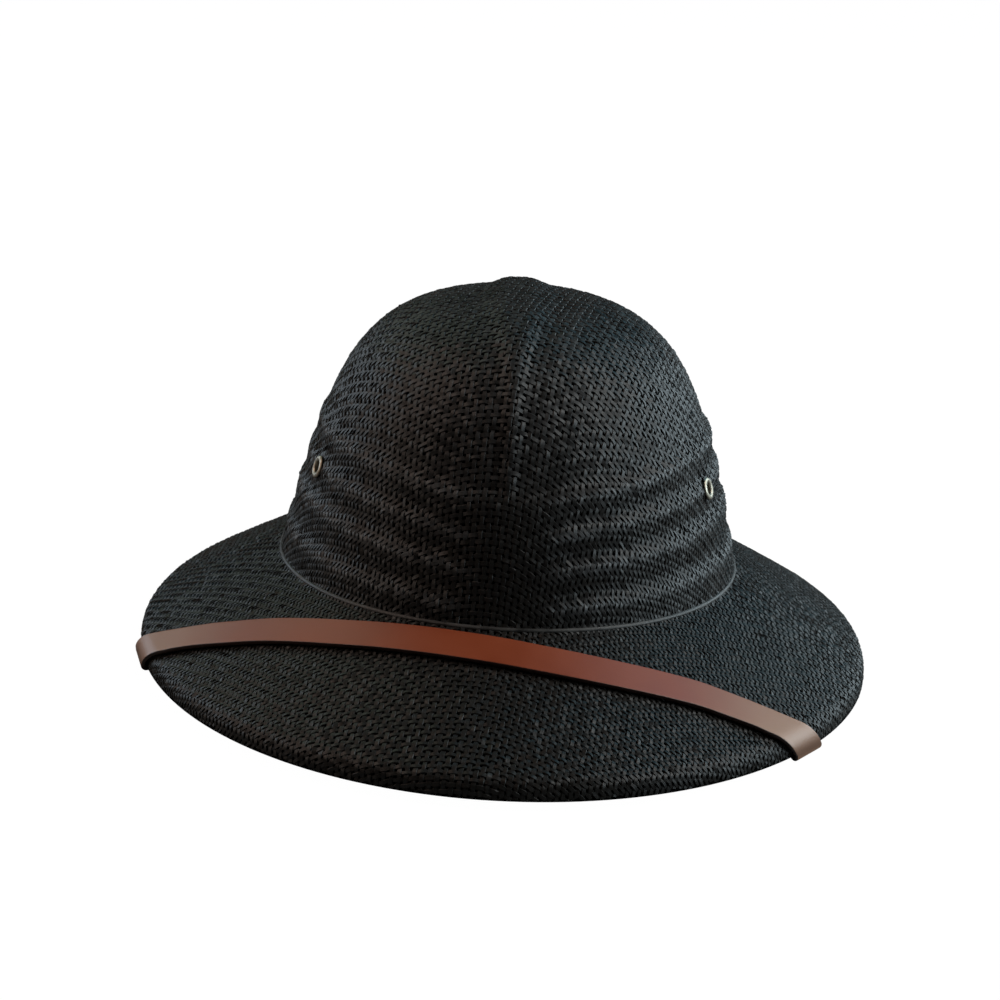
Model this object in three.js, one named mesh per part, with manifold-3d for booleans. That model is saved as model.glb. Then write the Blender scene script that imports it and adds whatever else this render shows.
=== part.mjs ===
// Straw sun helmet: a pressed straw shell with a ridged, pleated crown and a sloping brim,
// a leather chin strap laid over the front of the brim, and a brass eyelet on each side.
//
// Millimetres, +Z up. The front faces -Y and +X is on the right of a viewer who looks at the front.
// Azimuths are counted from the front towards +X. Pieces are shaped with the rim flat at z = 0 and
// then set down together on the strap's two turns and the back of the rim.

import * as THREE from 'three';
import { mergeVertices } from 'three/addons/utils/BufferGeometryUtils.js';
import Module from 'manifold-3d';

const wasm = await Module();
wasm.setup();

// Straw sheet and the air left between touching pieces
const WALL = 2.0;
const GAP = 0.35;

// Crease oval, where the crown meets the brim
const CREASE_HALF_WIDTH = 90.0;
const CREASE_HALF_LENGTH = 103.0;
const CREASE_HEIGHT = 37.0;
const CREASE_LIFT = 2.4; // how much higher the crease runs at the front and the back

// Crown section: a tapered superellipse between the crease and the top
const CROWN_RISE = 103.0;
const CROWN_TAPER = 0.285;
const TOP_POWER = 3.4;
const WALL_POWER = 5.2;

// Brim and its rolled edge
const RIM_HALF_WIDTH = 144.0;
const RIM_HALF_LENGTH = 171.6;
const ROLL_RADIUS = 7.0;
const ROLL_HEIGHT = 2.4; // height of the roll's centre line above the resting plane
const ROLL_LEAN = THREE.MathUtils.degToRad(29); // slope at which the brim runs into the roll
const BRIM_BOW = 0.06; // share of the brim's drop that follows a square law

// Pleats pressed into the crown wall, from the top one down. Heights are of the pleat's lip above
// the crease, depths are how far the lip stands out on either side of the helmet.
const PLEATS = [
  { side: 54.5, front: 43.5, right: 1.9, left: 1.2 },
  { side: 41.5, front: 30.5, right: 1.7, left: 1.1 },
  { side: 28.0, front: 18.5, right: 1.8, left: 1.2 },
  { side: 12.0, front: 6.0, right: 1.3, left: 1.1 },
];
const PLEAT_LEDGE = 5.0; // height of the sloping ledge above each lip
const PLEAT_FADE_FROM = 5.0; // azimuth in degrees where the pleats start beside the front and back
const PLEAT_FADE_OVER = 14.0;
const PLEAT_BLEND = 0.5; // share of the half width over which the left depths give way to the right
const BAND_DEPTH = 1.7; // plain front of the pleated band
const BAND_FOOT = 25.0; // height over which that front runs down into the crease

// Ridge over the crown from front to back, from its foot to the top
const RIDGE = [
  { height: 44.0, crest: 0.6, flank: 1.8, rise: 1.6 },
  { height: 60.0, crest: 0.8, flank: 2.0, rise: 1.7 },
  { height: 80.0, crest: 1.6, flank: 2.4, rise: 1.8 },
  { height: 93.0, crest: 2.4, flank: 4.0, rise: 1.9 },
  { height: 100.0, crest: 3.2, flank: 8.0, rise: 2.1 },
  { height: 103.0, crest: 4.0, flank: 14.0, rise: 2.5 },
];
const RIDGE_FOOT = 32.0;
const RIDGE_FOOT_OVER = 12.0;

// Chin strap
const STRAP_WIDTH = 13.5;
const STRAP_THICK = 1.8;
// Its middle line over the brim: azimuth in degrees, and the share of the way from crease to roll
const STRAP_RUN = [
  { azimuth: -70.3, out: 1.0 },
  { azimuth: -68.2, out: 0.905 },
  { azimuth: -63.7, out: 0.738 },
  { azimuth: -57.9, out: 0.58 },
  { azimuth: -51.8, out: 0.448 },
  { azimuth: -44.2, out: 0.336 },
  { azimuth: -35.4, out: 0.25 },
  { azimuth: -26.7, out: 0.192 },
  { azimuth: -17.8, out: 0.164 },
  { azimuth: -9.0, out: 0.163 },
  { azimuth: -0.5, out: 0.184 },
  { azimuth: 7.6, out: 0.228 },
  { azimuth: 15.5, out: 0.29 },
  { azimuth: 23.0, out: 0.37 },
  { azimuth: 30.2, out: 0.47 },
  { azimuth: 36.8, out: 0.595 },
  { azimuth: 41.0, out: 0.713 },
  { azimuth: 45.2, out: 0.855 },
  { azimuth: 48.6, out: 1.0 },
];
// Each end goes round the rim on a slant, in degrees to the rim, from an azimuth where the roll starts.
// Under the brim it runs on to its rivet, given like the middle line: leaving the rim's chord, at the
// rivet, and at its end.
const STRAP_ENDS = [
  {
    side: -1,
    slant: 42,
    start: -70.3,
    under: [{ azimuth: -96.0, out: 0.34 }, { azimuth: -99.0, out: 0.27 }, { azimuth: -101.5, out: 0.21 }],
  },
  {
    side: 1,
    slant: 48,
    start: 48.6,
    under: [{ azimuth: 72.5, out: 0.32 }, { azimuth: 75.0, out: 0.25 }, { azimuth: 77.5, out: 0.18 }],
  },
];
const RIVET_STATION = 1; // which of those holds the rivet
const STRAP_STEPS = 40;
const STRAP_SLANT_FROM = 0.78; // share of the way out where its sections start to turn along the rim
const STRAP_GAP = 0.6; // air under the strap where it lies flat
const STRAP_STAND_OFF = 0.9; // air under the strap where it bends over the roll
const STRAP_RISE_POWER = 4; // how late on its way out the strap rises to that
const STRAP_ROLL_SHARES = [0.25, 0.5, 0.75, 1];
const STRAP_TURN = [110, 145, 180, 211]; // degrees from straight up, outwards, round under the rim
const STRAP_TURN_RADIUS = 1.7;

// Rivet that holds each hidden end of the strap
const RIVET_HEAD_RADIUS = 3.6;
const RIVET_HEAD_HEIGHT = 1.4;
const RIVET_HEAD_EDGE = 0.4; // share of the head's height below its chamfer
const RIVET_HEAD_FLAT = 0.6; // share of the head's radius that is flat on top
const RIVET_SHANK_RADIUS = 1.4;
const RIVET_CUT = 8.0; // length of the cut through the leather

// Vent eyelets
const EYELET_AZIMUTH = 67.6;
const EYELET_HEIGHT = 40.0;
const EYELET_BORE_RADIUS = 2.1;
const EYELET_BARREL_RADIUS = 2.8;
const EYELET_FLANGE_RADIUS = 4.3;
const EYELET_FLANGE_THICK = 0.8;
const EYELET_SEAT = 0.6; // air between the outer flange and the pleat's lip that it sits on
const EYELET_BACK_SEAT = 1.6; // air between the inner flange and the hollow behind that lip
const EYELET_EDGE = 0.3; // rounding of a flange where it meets the straw
const EYELET_SHOULDER = 0.7; // rounding of a flange on its open side
const EYELET_MOUTH = 0.5; // width of the rounded mouth round the bore
const EYELET_WAIST = 0.4; // share of a flange's thickness where its rounded sides start
const VENT_CUT = 12.0; // length of the cut through the straw

// Facets
const AZIMUTH_STEP = 8;
const RIDGE_COLUMNS = [0, 0.9, 2.2, 4.2];
const COLUMN_CLEARANCE = 2.6;
const ROUND_SIDES = 20;
const DOME_ROWS = { outside: 13, inside: 9 };
const LEDGE_PARTS = { outside: [0.5, 1], inside: [1] };
const FACE_PARTS = { outside: [0.5, 1], inside: [1] };
const BRIM_SHARES = { outside: [0.05, 0.2, 0.4, 0.6, 0.8, 1], inside: [1, 0.75, 0.5, 0.25, 0.05] };
const ROLL_SHARES = { outside: [0.25, 0.5, 0.75, 1], inside: [1, 0.67, 0.33] };
const SEAT_TURN = 0.01; // turn in radians over which the run of a wall or an edge is read
const MERGE_WITHIN = 1e-4;

const rad = THREE.MathUtils.degToRad;
const lerp = THREE.MathUtils.lerp;
const smooth = (t) => THREE.MathUtils.smoothstep(t, 0, 1);

// Value of a table's column at a height, by straight lines between its rows
function tableAt(rows, key, height) {
  if (height <= rows[0].height) return rows[0][key];
  for (let i = 1; i < rows.length; i += 1) {
    if (height <= rows[i].height) {
      const t = (height - rows[i - 1].height) / (rows[i].height - rows[i - 1].height);
      return lerp(rows[i - 1][key], rows[i][key], t);
    }
  }
  return rows[rows.length - 1][key];
}

// Height of a pleat's lip at an azimuth: lowest at the front and the back
function lipHeight(pleat, azimuth) {
  return lerp(pleat.front, pleat.side, Math.abs(Math.sin(azimuth)));
}

// How far the pleats stand out of the plain crown at an azimuth and a height
function pleatDepth(azimuth, height) {
  const across = Math.sin(azimuth);
  const turned = THREE.MathUtils.radToDeg(Math.asin(Math.min(1, Math.abs(across))));
  const fade = smooth((turned - PLEAT_FADE_FROM) / PLEAT_FADE_OVER);
  const rightness = smooth((across + PLEAT_BLEND) / (2 * PLEAT_BLEND));
  let depth = 0;
  PLEATS.forEach((pleat, i) => {
    const lip = lipHeight(pleat, azimuth);
    const foot = i + 1 < PLEATS.length ? lipHeight(PLEATS[i + 1], azimuth) + PLEAT_LEDGE : 0;
    const share = height >= lip
      ? smooth((lip + PLEAT_LEDGE - height) / PLEAT_LEDGE)
      : THREE.MathUtils.clamp((height - foot) / (lip - foot), 0, 1);
    depth = Math.max(depth, share * lerp(pleat.left, pleat.right, rightness));
  });
  const top = lipHeight(PLEATS[0], azimuth) + PLEAT_LEDGE;
  const band = BAND_DEPTH * smooth((top - height) / PLEAT_LEDGE) * smooth(height / BAND_FOOT);
  return lerp(band, depth, fade);
}

// How far the ridge stands out at a distance from the middle plane and a height
function ridgeDepth(x, height) {
  const crest = tableAt(RIDGE, 'crest', height);
  const flank = tableAt(RIDGE, 'flank', height);
  const rise = tableAt(RIDGE, 'rise', height) * smooth((height - RIDGE_FOOT) / RIDGE_FOOT_OVER);
  return rise * smooth((crest + flank - Math.abs(x)) / flank);
}

// Point of the crown at an azimuth and a height above the crease, sunk below the outer face.
// The plain crown is (rho / (1 - taper g))^p + g^q = 1, with g the height over the rise and rho
// the distance from the axis over the crease's own, and its gradient gives the way outwards.
function crownPoint(azimuth, height, sunk = 0) {
  const g = THREE.MathUtils.clamp(height / CROWN_RISE, 0, 1);
  const shape = (1 - g ** WALL_POWER) ** (1 / TOP_POWER);
  const taper = 1 - CROWN_TAPER * g;
  const x = CREASE_HALF_WIDTH * shape * taper * Math.sin(azimuth);
  const y = -CREASE_HALF_LENGTH * shape * taper * Math.cos(azimuth);
  const pull = TOP_POWER * shape ** (TOP_POWER - 2);
  const lean = (TOP_POWER * shape ** TOP_POWER * CROWN_TAPER) / taper;
  const out = new THREE.Vector3(
    (pull * x) / (CREASE_HALF_WIDTH * taper) ** 2,
    (pull * y) / (CREASE_HALF_LENGTH * taper) ** 2,
    (lean + WALL_POWER * g ** (WALL_POWER - 1)) / CROWN_RISE,
  ).normalize();
  const depth = Math.max(pleatDepth(azimuth, height), ridgeDepth(x, height));
  const z = CREASE_HEIGHT + CREASE_LIFT * (y / CREASE_HALF_LENGTH) ** 2 + height;
  return new THREE.Vector3(x, y, z).addScaledVector(out, depth - sunk);
}

// Height of the crown's row that lies a share of the way from the top to the highest pleat
function domeHeight(azimuth, share) {
  const g = (lipHeight(PLEATS[0], azimuth) + PLEAT_LEDGE) / CROWN_RISE;
  const shape = share * (1 - g ** WALL_POWER) ** (1 / TOP_POWER);
  return CROWN_RISE * (1 - shape ** TOP_POWER) ** (1 / WALL_POWER);
}

const rollTop = ROLL_HEIGHT + ROLL_RADIUS * Math.cos(ROLL_LEAN);
const rollReach = ROLL_RADIUS * (1 - Math.sin(ROLL_LEAN));

// Height of the crease at an azimuth
const creaseHeight = (azimuth) => CREASE_HEIGHT + CREASE_LIFT * Math.cos(azimuth) ** 2;

// Slope of the brim below the level
function brimSlope(azimuth, share) {
  const reach = Math.hypot(
    (RIM_HALF_WIDTH - rollReach - CREASE_HALF_WIDTH) * Math.sin(azimuth),
    (RIM_HALF_LENGTH - rollReach - CREASE_HALF_LENGTH) * Math.cos(azimuth),
  );
  const drop = creaseHeight(azimuth) - rollTop;
  return Math.atan2(drop * (1 - BRIM_BOW + 2 * BRIM_BOW * share), reach);
}

// Point of the brim, a share of the way from the crease to the roll, sunk below the outer face
function brimPoint(azimuth, share, sunk = 0) {
  const inwards = sunk * Math.sin(brimSlope(azimuth, share));
  const halfWidth = lerp(CREASE_HALF_WIDTH, RIM_HALF_WIDTH - rollReach, share) - inwards;
  const halfLength = lerp(CREASE_HALF_LENGTH, RIM_HALF_LENGTH - rollReach, share) - inwards;
  const z = lerp(creaseHeight(azimuth), rollTop, (1 - BRIM_BOW) * share + BRIM_BOW * share * share);
  return new THREE.Vector3(
    halfWidth * Math.sin(azimuth),
    -halfLength * Math.cos(azimuth),
    z - sunk * Math.cos(brimSlope(azimuth, share)),
  );
}

// Angle from straight up on the roll, a share of the way from the brim to the rim
const rollAngle = (share) => lerp(ROLL_LEAN, Math.PI / 2, share);

// Point of the roll at an angle from straight up, sunk below the outer face
function rollPoint(azimuth, angle, sunk = 0) {
  const radius = ROLL_RADIUS - sunk;
  const reach = ROLL_RADIUS - radius * Math.sin(angle);
  return new THREE.Vector3(
    (RIM_HALF_WIDTH - reach) * Math.sin(azimuth),
    -(RIM_HALF_LENGTH - reach) * Math.cos(azimuth),
    ROLL_HEIGHT + radius * Math.cos(angle),
  );
}

// Point at the foot of the rim, sunk below the outer face
function footPoint(azimuth, sunk = 0) {
  return rollPoint(azimuth, Math.PI / 2, sunk).setZ(0);
}

// Azimuths of the shell's columns: close together on the ridge, with even steps between
function shellColumns() {
  const close = [];
  for (const middle of [0, 180]) {
    for (const away of RIDGE_COLUMNS) close.push(middle + away, middle - away);
  }
  const turn = (degrees) => ((degrees % 360) + 360) % 360;
  const apart = (a, b) => Math.abs(((a - b + 540) % 360) - 180);
  const columns = [...new Set(close.map(turn))];
  const kept = columns.length;
  for (let degrees = 0; degrees < 360; degrees += AZIMUTH_STEP) {
    if (columns.slice(0, kept).every((c) => apart(c, degrees) > COLUMN_CLEARANCE)) columns.push(degrees);
  }
  return columns.sort((a, b) => a - b).map((degrees) => rad(degrees > 180 ? degrees - 360 : degrees));
}

// Heights of the crown's rows over the pleats: parts of each ledge, then parts of the face below it
function pleatRows(azimuth, face) {
  const heights = [];
  PLEATS.forEach((pleat, i) => {
    const lip = lipHeight(pleat, azimuth);
    const foot = i + 1 < PLEATS.length ? lipHeight(PLEATS[i + 1], azimuth) + PLEAT_LEDGE : 0;
    for (const part of LEDGE_PARTS[face]) heights.push(lip + PLEAT_LEDGE * (1 - part));
    for (const part of FACE_PARTS[face]) heights.push(lerp(lip, foot, part));
  });
  return heights;
}

// Evenly spaced shares from just after 0 up to 1
const shares = (count) => Array.from({ length: count }, (_, i) => (i + 1) / count);

// One column of the shell, from the top down the outside, round the rim and up the inside
function shellColumn(azimuth) {
  const outside = [
    ...shares(DOME_ROWS.outside).map((s) => crownPoint(azimuth, domeHeight(azimuth, s))),
    ...pleatRows(azimuth, 'outside').map((h) => crownPoint(azimuth, h)),
    ...BRIM_SHARES.outside.map((s) => brimPoint(azimuth, s)),
    ...ROLL_SHARES.outside.map((s) => rollPoint(azimuth, rollAngle(s))),
    footPoint(azimuth),
  ];
  const inside = [
    footPoint(azimuth, WALL),
    ...ROLL_SHARES.inside.map((s) => rollPoint(azimuth, rollAngle(s), WALL)),
    ...BRIM_SHARES.inside.map((s) => brimPoint(azimuth, s, WALL)),
    ...pleatRows(azimuth, 'inside').reverse().map((h) => crownPoint(azimuth, h, WALL)),
    ...shares(DOME_ROWS.inside).reverse().map((s) => crownPoint(azimuth, domeHeight(azimuth, s), WALL)),
  ];
  return [...outside, ...inside];
}

// Closed solid from columns of points that all run from one pole to the other
function solidBetweenPoles(firstPole, columns, lastPole) {
  const rows = columns[0].length;
  const positions = [firstPole, ...columns.flat(), lastPole].flatMap((p) => [p.x, p.y, p.z]);
  const at = (column, row) => 1 + (column % columns.length) * rows + row;
  const last = 1 + columns.length * rows;
  const index = [];
  for (let c = 0; c < columns.length; c += 1) {
    index.push(0, at(c, 0), at(c + 1, 0));
    for (let r = 0; r + 1 < rows; r += 1) {
      index.push(at(c, r), at(c, r + 1), at(c + 1, r + 1));
      index.push(at(c, r), at(c + 1, r + 1), at(c + 1, r));
    }
    index.push(last, at(c + 1, rows - 1), at(c, rows - 1));
  }
  const geometry = new THREE.BufferGeometry();
  geometry.setAttribute('position', new THREE.Float32BufferAttribute(positions, 3));
  geometry.setIndex(index);
  return geometry;
}

// Turns a closed geometry into a solid that can be cut
function toSolid(geometry) {
  const bare = geometry.clone();
  bare.deleteAttribute('normal');
  bare.deleteAttribute('uv');
  const merged = mergeVertices(bare, MERGE_WITHIN);
  return new wasm.Manifold(new wasm.Mesh({
    numProp: 3,
    vertProperties: new Float32Array(merged.attributes.position.array),
    triVerts: new Uint32Array(merged.index.array),
  }));
}

function toGeometry(solid) {
  const mesh = solid.getMesh();
  const geometry = new THREE.BufferGeometry();
  geometry.setAttribute('position', new THREE.BufferAttribute(new Float32Array(mesh.vertProperties), 3));
  geometry.setIndex(new THREE.BufferAttribute(new Uint32Array(mesh.triVerts), 1));
  geometry.computeVertexNormals();
  return geometry;
}

// Geometry with the cutters taken away
function cut(geometry, cutters) {
  return toGeometry(cutters.reduce((solid, cutter) => solid.subtract(toSolid(cutter)), toSolid(geometry)));
}

// Turn that carries +Z onto a direction
function turnTo(direction) {
  return new THREE.Quaternion().setFromUnitVectors(new THREE.Vector3(0, 0, 1), direction);
}

// Round pin along a direction, to cut a hole
function holeCutter(centre, direction, radius, length) {
  const pin = new THREE.CylinderGeometry(radius, radius, length, ROUND_SIDES);
  pin.rotateX(Math.PI / 2);
  pin.applyQuaternion(turnTo(direction));
  pin.translate(centre.x, centre.y, centre.z);
  return pin;
}

// Turned piece from a profile of radius and height, placed along a direction
function turnedPiece(profile, centre, direction) {
  const outline = profile.map(([radius, height]) => new THREE.Vector2(radius, height));
  const piece = new THREE.LatheGeometry(outline, ROUND_SIDES);
  piece.rotateX(Math.PI / 2);
  piece.applyQuaternion(turnTo(direction));
  piece.translate(centre.x, centre.y, centre.z);
  return piece;
}

// Where an eyelet sits: the crown's outer face and the way out of it
function eyeletSeat(azimuth) {
  const centre = crownPoint(azimuth, EYELET_HEIGHT);
  const along = crownPoint(azimuth + SEAT_TURN, EYELET_HEIGHT).sub(centre);
  const above = crownPoint(azimuth, EYELET_HEIGHT + EYELET_FLANGE_RADIUS);
  const down = crownPoint(azimuth, EYELET_HEIGHT - EYELET_FLANGE_RADIUS).sub(above);
  return { centre, out: down.cross(along).normalize() };
}

// Rolled brass eyelet: a flange on each face of the straw and a barrel through it
function eyelet({ centre, out }) {
  const face = EYELET_SEAT;
  const back = -WALL - EYELET_BACK_SEAT;
  const flange = (from, way) => [
    [EYELET_BARREL_RADIUS, from],
    [EYELET_FLANGE_RADIUS - EYELET_EDGE, from],
    [EYELET_FLANGE_RADIUS, from + EYELET_WAIST * way * EYELET_FLANGE_THICK],
    [EYELET_FLANGE_RADIUS - EYELET_SHOULDER, from + way * EYELET_FLANGE_THICK],
    [EYELET_BORE_RADIUS + EYELET_MOUTH, from + way * EYELET_FLANGE_THICK],
    [EYELET_BORE_RADIUS, from + EYELET_WAIST * way * EYELET_FLANGE_THICK],
  ];
  const outer = flange(face, 1);
  const inner = flange(back, -1).reverse();
  const profile = [...inner, ...outer, inner[0]];
  return turnedPiece(profile, centre, out);
}

// Where a rivet sits: the straw's underside at a hidden end of the strap, and the way down from it
function rivetSeat({ under }) {
  const { azimuth, out } = under[RIVET_STATION];
  return {
    centre: brimPoint(rad(azimuth), out, WALL),
    out: brimNormal(rad(azimuth), out).negate(),
  };
}

// Plain rivet: a shank through the leather and a low round head under it
function rivet({ centre, out }) {
  const seat = STRAP_GAP + STRAP_THICK + GAP;
  return turnedPiece([
    [0, GAP],
    [RIVET_SHANK_RADIUS, GAP],
    [RIVET_SHANK_RADIUS, seat],
    [RIVET_HEAD_RADIUS, seat],
    [RIVET_HEAD_RADIUS, seat + RIVET_HEAD_EDGE * RIVET_HEAD_HEIGHT],
    [RIVET_HEAD_FLAT * RIVET_HEAD_RADIUS, seat + RIVET_HEAD_HEIGHT],
    [0, seat + RIVET_HEAD_HEIGHT],
  ], centre, out);
}

// Direction square to the brim's oval at an azimuth and share, tilted by an angle from straight up
function leaning(azimuth, share, angle) {
  const level = new THREE.Vector3(
    Math.sin(azimuth) / lerp(CREASE_HALF_WIDTH, RIM_HALF_WIDTH, share),
    -Math.cos(azimuth) / lerp(CREASE_HALF_LENGTH, RIM_HALF_LENGTH, share),
    0,
  ).normalize();
  return level.multiplyScalar(Math.sin(angle)).setZ(Math.cos(angle));
}

// Direction square to the brim's upper face
const brimNormal = (azimuth, share) => leaning(azimuth, share, brimSlope(azimuth, share));

// Places of the strap, each a point of its lower face and the way off the straw there: on top of the
// brim, on the roll, round under the rim, and on the underside
function topPlace(azimuth, out) {
  const standOff = lerp(STRAP_GAP, STRAP_STAND_OFF, out ** STRAP_RISE_POWER);
  return { point: brimPoint(azimuth, out, -standOff), off: brimNormal(azimuth, out) };
}

function rollPlace(azimuth, angle) {
  return { point: rollPoint(azimuth, angle, -STRAP_STAND_OFF), off: leaning(azimuth, 1, angle) };
}

function turnPlace(azimuth, angle) {
  const off = leaning(azimuth, 1, angle);
  const middle = footPoint(azimuth, WALL / 2).setZ(WALL / 2);
  return { point: middle.addScaledVector(off, STRAP_TURN_RADIUS), off };
}

function underPlace(azimuth, out) {
  return { point: brimPoint(azimuth, out, WALL + STRAP_GAP), off: brimNormal(azimuth, out).negate() };
}

// Way along the strap from the start of the roll to a share of the roll, and to an angle under the rim
const rollWay = (share) => share * (ROLL_RADIUS + STRAP_STAND_OFF) * (Math.PI / 2 - ROLL_LEAN);
const turnWay = (angle) => rollWay(1) + ROLL_HEIGHT - WALL / 2 + STRAP_TURN_RADIUS * (angle - Math.PI / 2);

// Azimuth that one end's middle line has reached after a way past the start of the roll
function endAzimuth({ side, slant, start }, way) {
  const speed = Math.hypot(RIM_HALF_WIDTH * Math.cos(rad(start)), RIM_HALF_LENGTH * Math.sin(rad(start)));
  return rad(start) + (side * way) / Math.tan(rad(slant)) / speed;
}

// Stations of one end, from the roll round under the rim to the hidden end
function endStations(end) {
  const roll = STRAP_ROLL_SHARES.map((share) => ({
    azimuth: endAzimuth(end, rollWay(share)),
    place: (azimuth) => rollPlace(azimuth, rollAngle(share)),
    end,
    slanted: 1,
  }));
  const turn = STRAP_TURN.map((degrees) => ({
    azimuth: endAzimuth(end, turnWay(rad(degrees))),
    place: (azimuth) => turnPlace(azimuth, rad(degrees)),
    end,
    slanted: 1,
  }));
  const under = end.under.map(({ azimuth: degrees, out }) => ({
    azimuth: rad(degrees),
    place: (azimuth) => underPlace(azimuth, out),
    end,
    slanted: 0,
  }));
  return [...roll, ...turn, ...under];
}

// Stations over the brim, from the left roll to the right one
function topStations() {
  const knots = STRAP_RUN.map(({ azimuth, out }) => new THREE.Vector3(azimuth, out, 0));
  const curve = new THREE.CatmullRomCurve3(knots);
  return Array.from({ length: STRAP_STEPS + 1 }, (_, i) => {
    const at = curve.getPoint(i / STRAP_STEPS);
    return {
      azimuth: rad(at.x),
      place: (azimuth) => topPlace(azimuth, at.y),
      end: STRAP_ENDS[at.x < 0 ? 0 : 1],
      slanted: smooth((at.y - STRAP_SLANT_FROM) / (1 - STRAP_SLANT_FROM)),
    };
  });
}

// Edges of a section that lies along the rim: the strap's places to each side, as far apart as the
// slant makes them
function slantedEdges({ azimuth, place, end }) {
  const speed = place(azimuth + SEAT_TURN).point.distanceTo(place(azimuth).point) / SEAT_TURN;
  const half = (end.side * STRAP_WIDTH) / (2 * Math.sin(rad(end.slant)) * speed);
  return [place(azimuth - half), place(azimuth + half)];
}

// Sections of the strap from its left end to its right end, each as its two edges
function strapSections() {
  const [left, right] = STRAP_ENDS.map(endStations);
  const stations = [...left.reverse(), ...topStations(), ...right];
  const middles = stations.map(({ azimuth, place }) => place(azimuth));
  return stations.map((station, i) => {
    const { point, off } = middles[i];
    const before = middles[Math.max(0, i - 1)].point;
    const after = middles[Math.min(middles.length - 1, i + 1)].point;
    const side = off.clone().cross(after.clone().sub(before)).normalize();
    return slantedEdges(station).map((edge, k) => {
      const square = point.clone().addScaledVector(side, (k - 0.5) * STRAP_WIDTH);
      return {
        point: square.lerp(edge.point, station.slanted),
        off: off.clone().lerp(edge.off, station.slanted).normalize(),
      };
    });
  });
}

// Flat band through the sections
function strapBand() {
  const corners = strapSections().map(([near, far]) => {
    const raised = ({ point, off }) => point.clone().addScaledVector(off, STRAP_THICK);
    return [near.point, far.point, raised(far), raised(near)];
  });
  const positions = corners.flat().flatMap((p) => [p.x, p.y, p.z]);
  const index = [];
  for (let s = 0; s + 1 < corners.length; s += 1) {
    for (let k = 0; k < 4; k += 1) {
      const a = 4 * s + k;
      const b = 4 * s + (k + 1) % 4;
      index.push(a, b, b + 4, a, b + 4, a + 4);
    }
  }
  const last = 4 * (corners.length - 1);
  index.push(0, 2, 1, 0, 3, 2, last, last + 1, last + 2, last, last + 2, last + 3);
  const geometry = new THREE.BufferGeometry();
  geometry.setAttribute('position', new THREE.Float32BufferAttribute(positions, 3));
  geometry.setIndex(index);
  return geometry;
}

// Turn and rise that set the helmet down: on the back edge of each strap turn, and on the part of the
// rim that lies furthest behind the two
function standing() {
  const [left, right] = STRAP_ENDS.map((end) => {
    const azimuth = endAzimuth(end, turnWay(Math.PI));
    const edges = slantedEdges({ azimuth, place: (a) => turnPlace(a, Math.PI), end });
    return edges[1].point.addScaledVector(edges[1].off, STRAP_THICK);
  });
  const along = right.clone().sub(left);
  const back = new THREE.Vector3(-along.y * RIM_HALF_WIDTH, along.x * RIM_HALF_LENGTH, 0).normalize();
  const rear = new THREE.Vector3(RIM_HALF_WIDTH * back.x, RIM_HALF_LENGTH * back.y, 0);
  const up = along.cross(rear.sub(left)).normalize();
  const turn = new THREE.Quaternion().setFromUnitVectors(up, new THREE.Vector3(0, 0, 1));
  const rise = new THREE.Vector3(0, 0, -left.applyQuaternion(turn).z);
  return new THREE.Matrix4().compose(rise, turn, new THREE.Vector3(1, 1, 1));
}

const black = new THREE.MeshStandardMaterial({ color: 0x1c1c1e, roughness: 0.6, metalness: 0 });
const leather = new THREE.MeshStandardMaterial({ color: 0x6b3a26, roughness: 0.45, metalness: 0 });
const brass = new THREE.MeshStandardMaterial({ color: 0xa8946a, roughness: 0.35, metalness: 1 });

const helmet = new THREE.Group();
const setDown = standing();
function addPiece(name, geometry, material) {
  const mesh = new THREE.Mesh(geometry.applyMatrix4(setDown), material);
  mesh.name = name;
  helmet.add(mesh);
}

const columns = shellColumns();
const shell = solidBetweenPoles(
  crownPoint(0, CROWN_RISE), columns.map(shellColumn), crownPoint(0, CROWN_RISE, WALL),
);
const seats = { left: eyeletSeat(rad(-EYELET_AZIMUTH)), right: eyeletSeat(rad(EYELET_AZIMUTH)) };
const vents = Object.values(seats).map(({ centre, out }) => (
  holeCutter(centre, out, EYELET_BARREL_RADIUS + GAP, VENT_CUT)
));
addPiece('straw_shell', cut(shell, vents), black);

const rivetSeats = STRAP_ENDS.map(rivetSeat);
const rivetHoles = rivetSeats.map(({ centre, out }) => (
  holeCutter(centre, out, RIVET_SHANK_RADIUS + GAP, RIVET_CUT)
));
addPiece('chin_strap', cut(strapBand(), rivetHoles), leather);

addPiece('eyelet_left', eyelet(seats.left), brass);
addPiece('eyelet_right', eyelet(seats.right), brass);
addPiece('strap_rivet_left', rivet(rivetSeats[0]), brass);
addPiece('strap_rivet_right', rivet(rivetSeats[1]), brass);

export default helmet;
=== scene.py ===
"""Straw sun helmet in a plain studio.

A pressed shell of woven straw strands, a leather chin strap laid over the front of the brim, brass
vent eyelets and the rivets that hold the strap. Sizes are in millimetres: the front faces -Y, and
azimuths are counted from the front towards +X. Pieces are shaped with the rim flat at z = 0, written in
metres, and then set down together on the strap's two turns and the back of the rim.
"""

import logging
import math
from dataclasses import dataclass, field
from enum import Enum
from functools import cache
from typing import Callable, Optional, Sequence

import bpy
import numpy as np
from mathutils import Matrix, Vector


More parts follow.
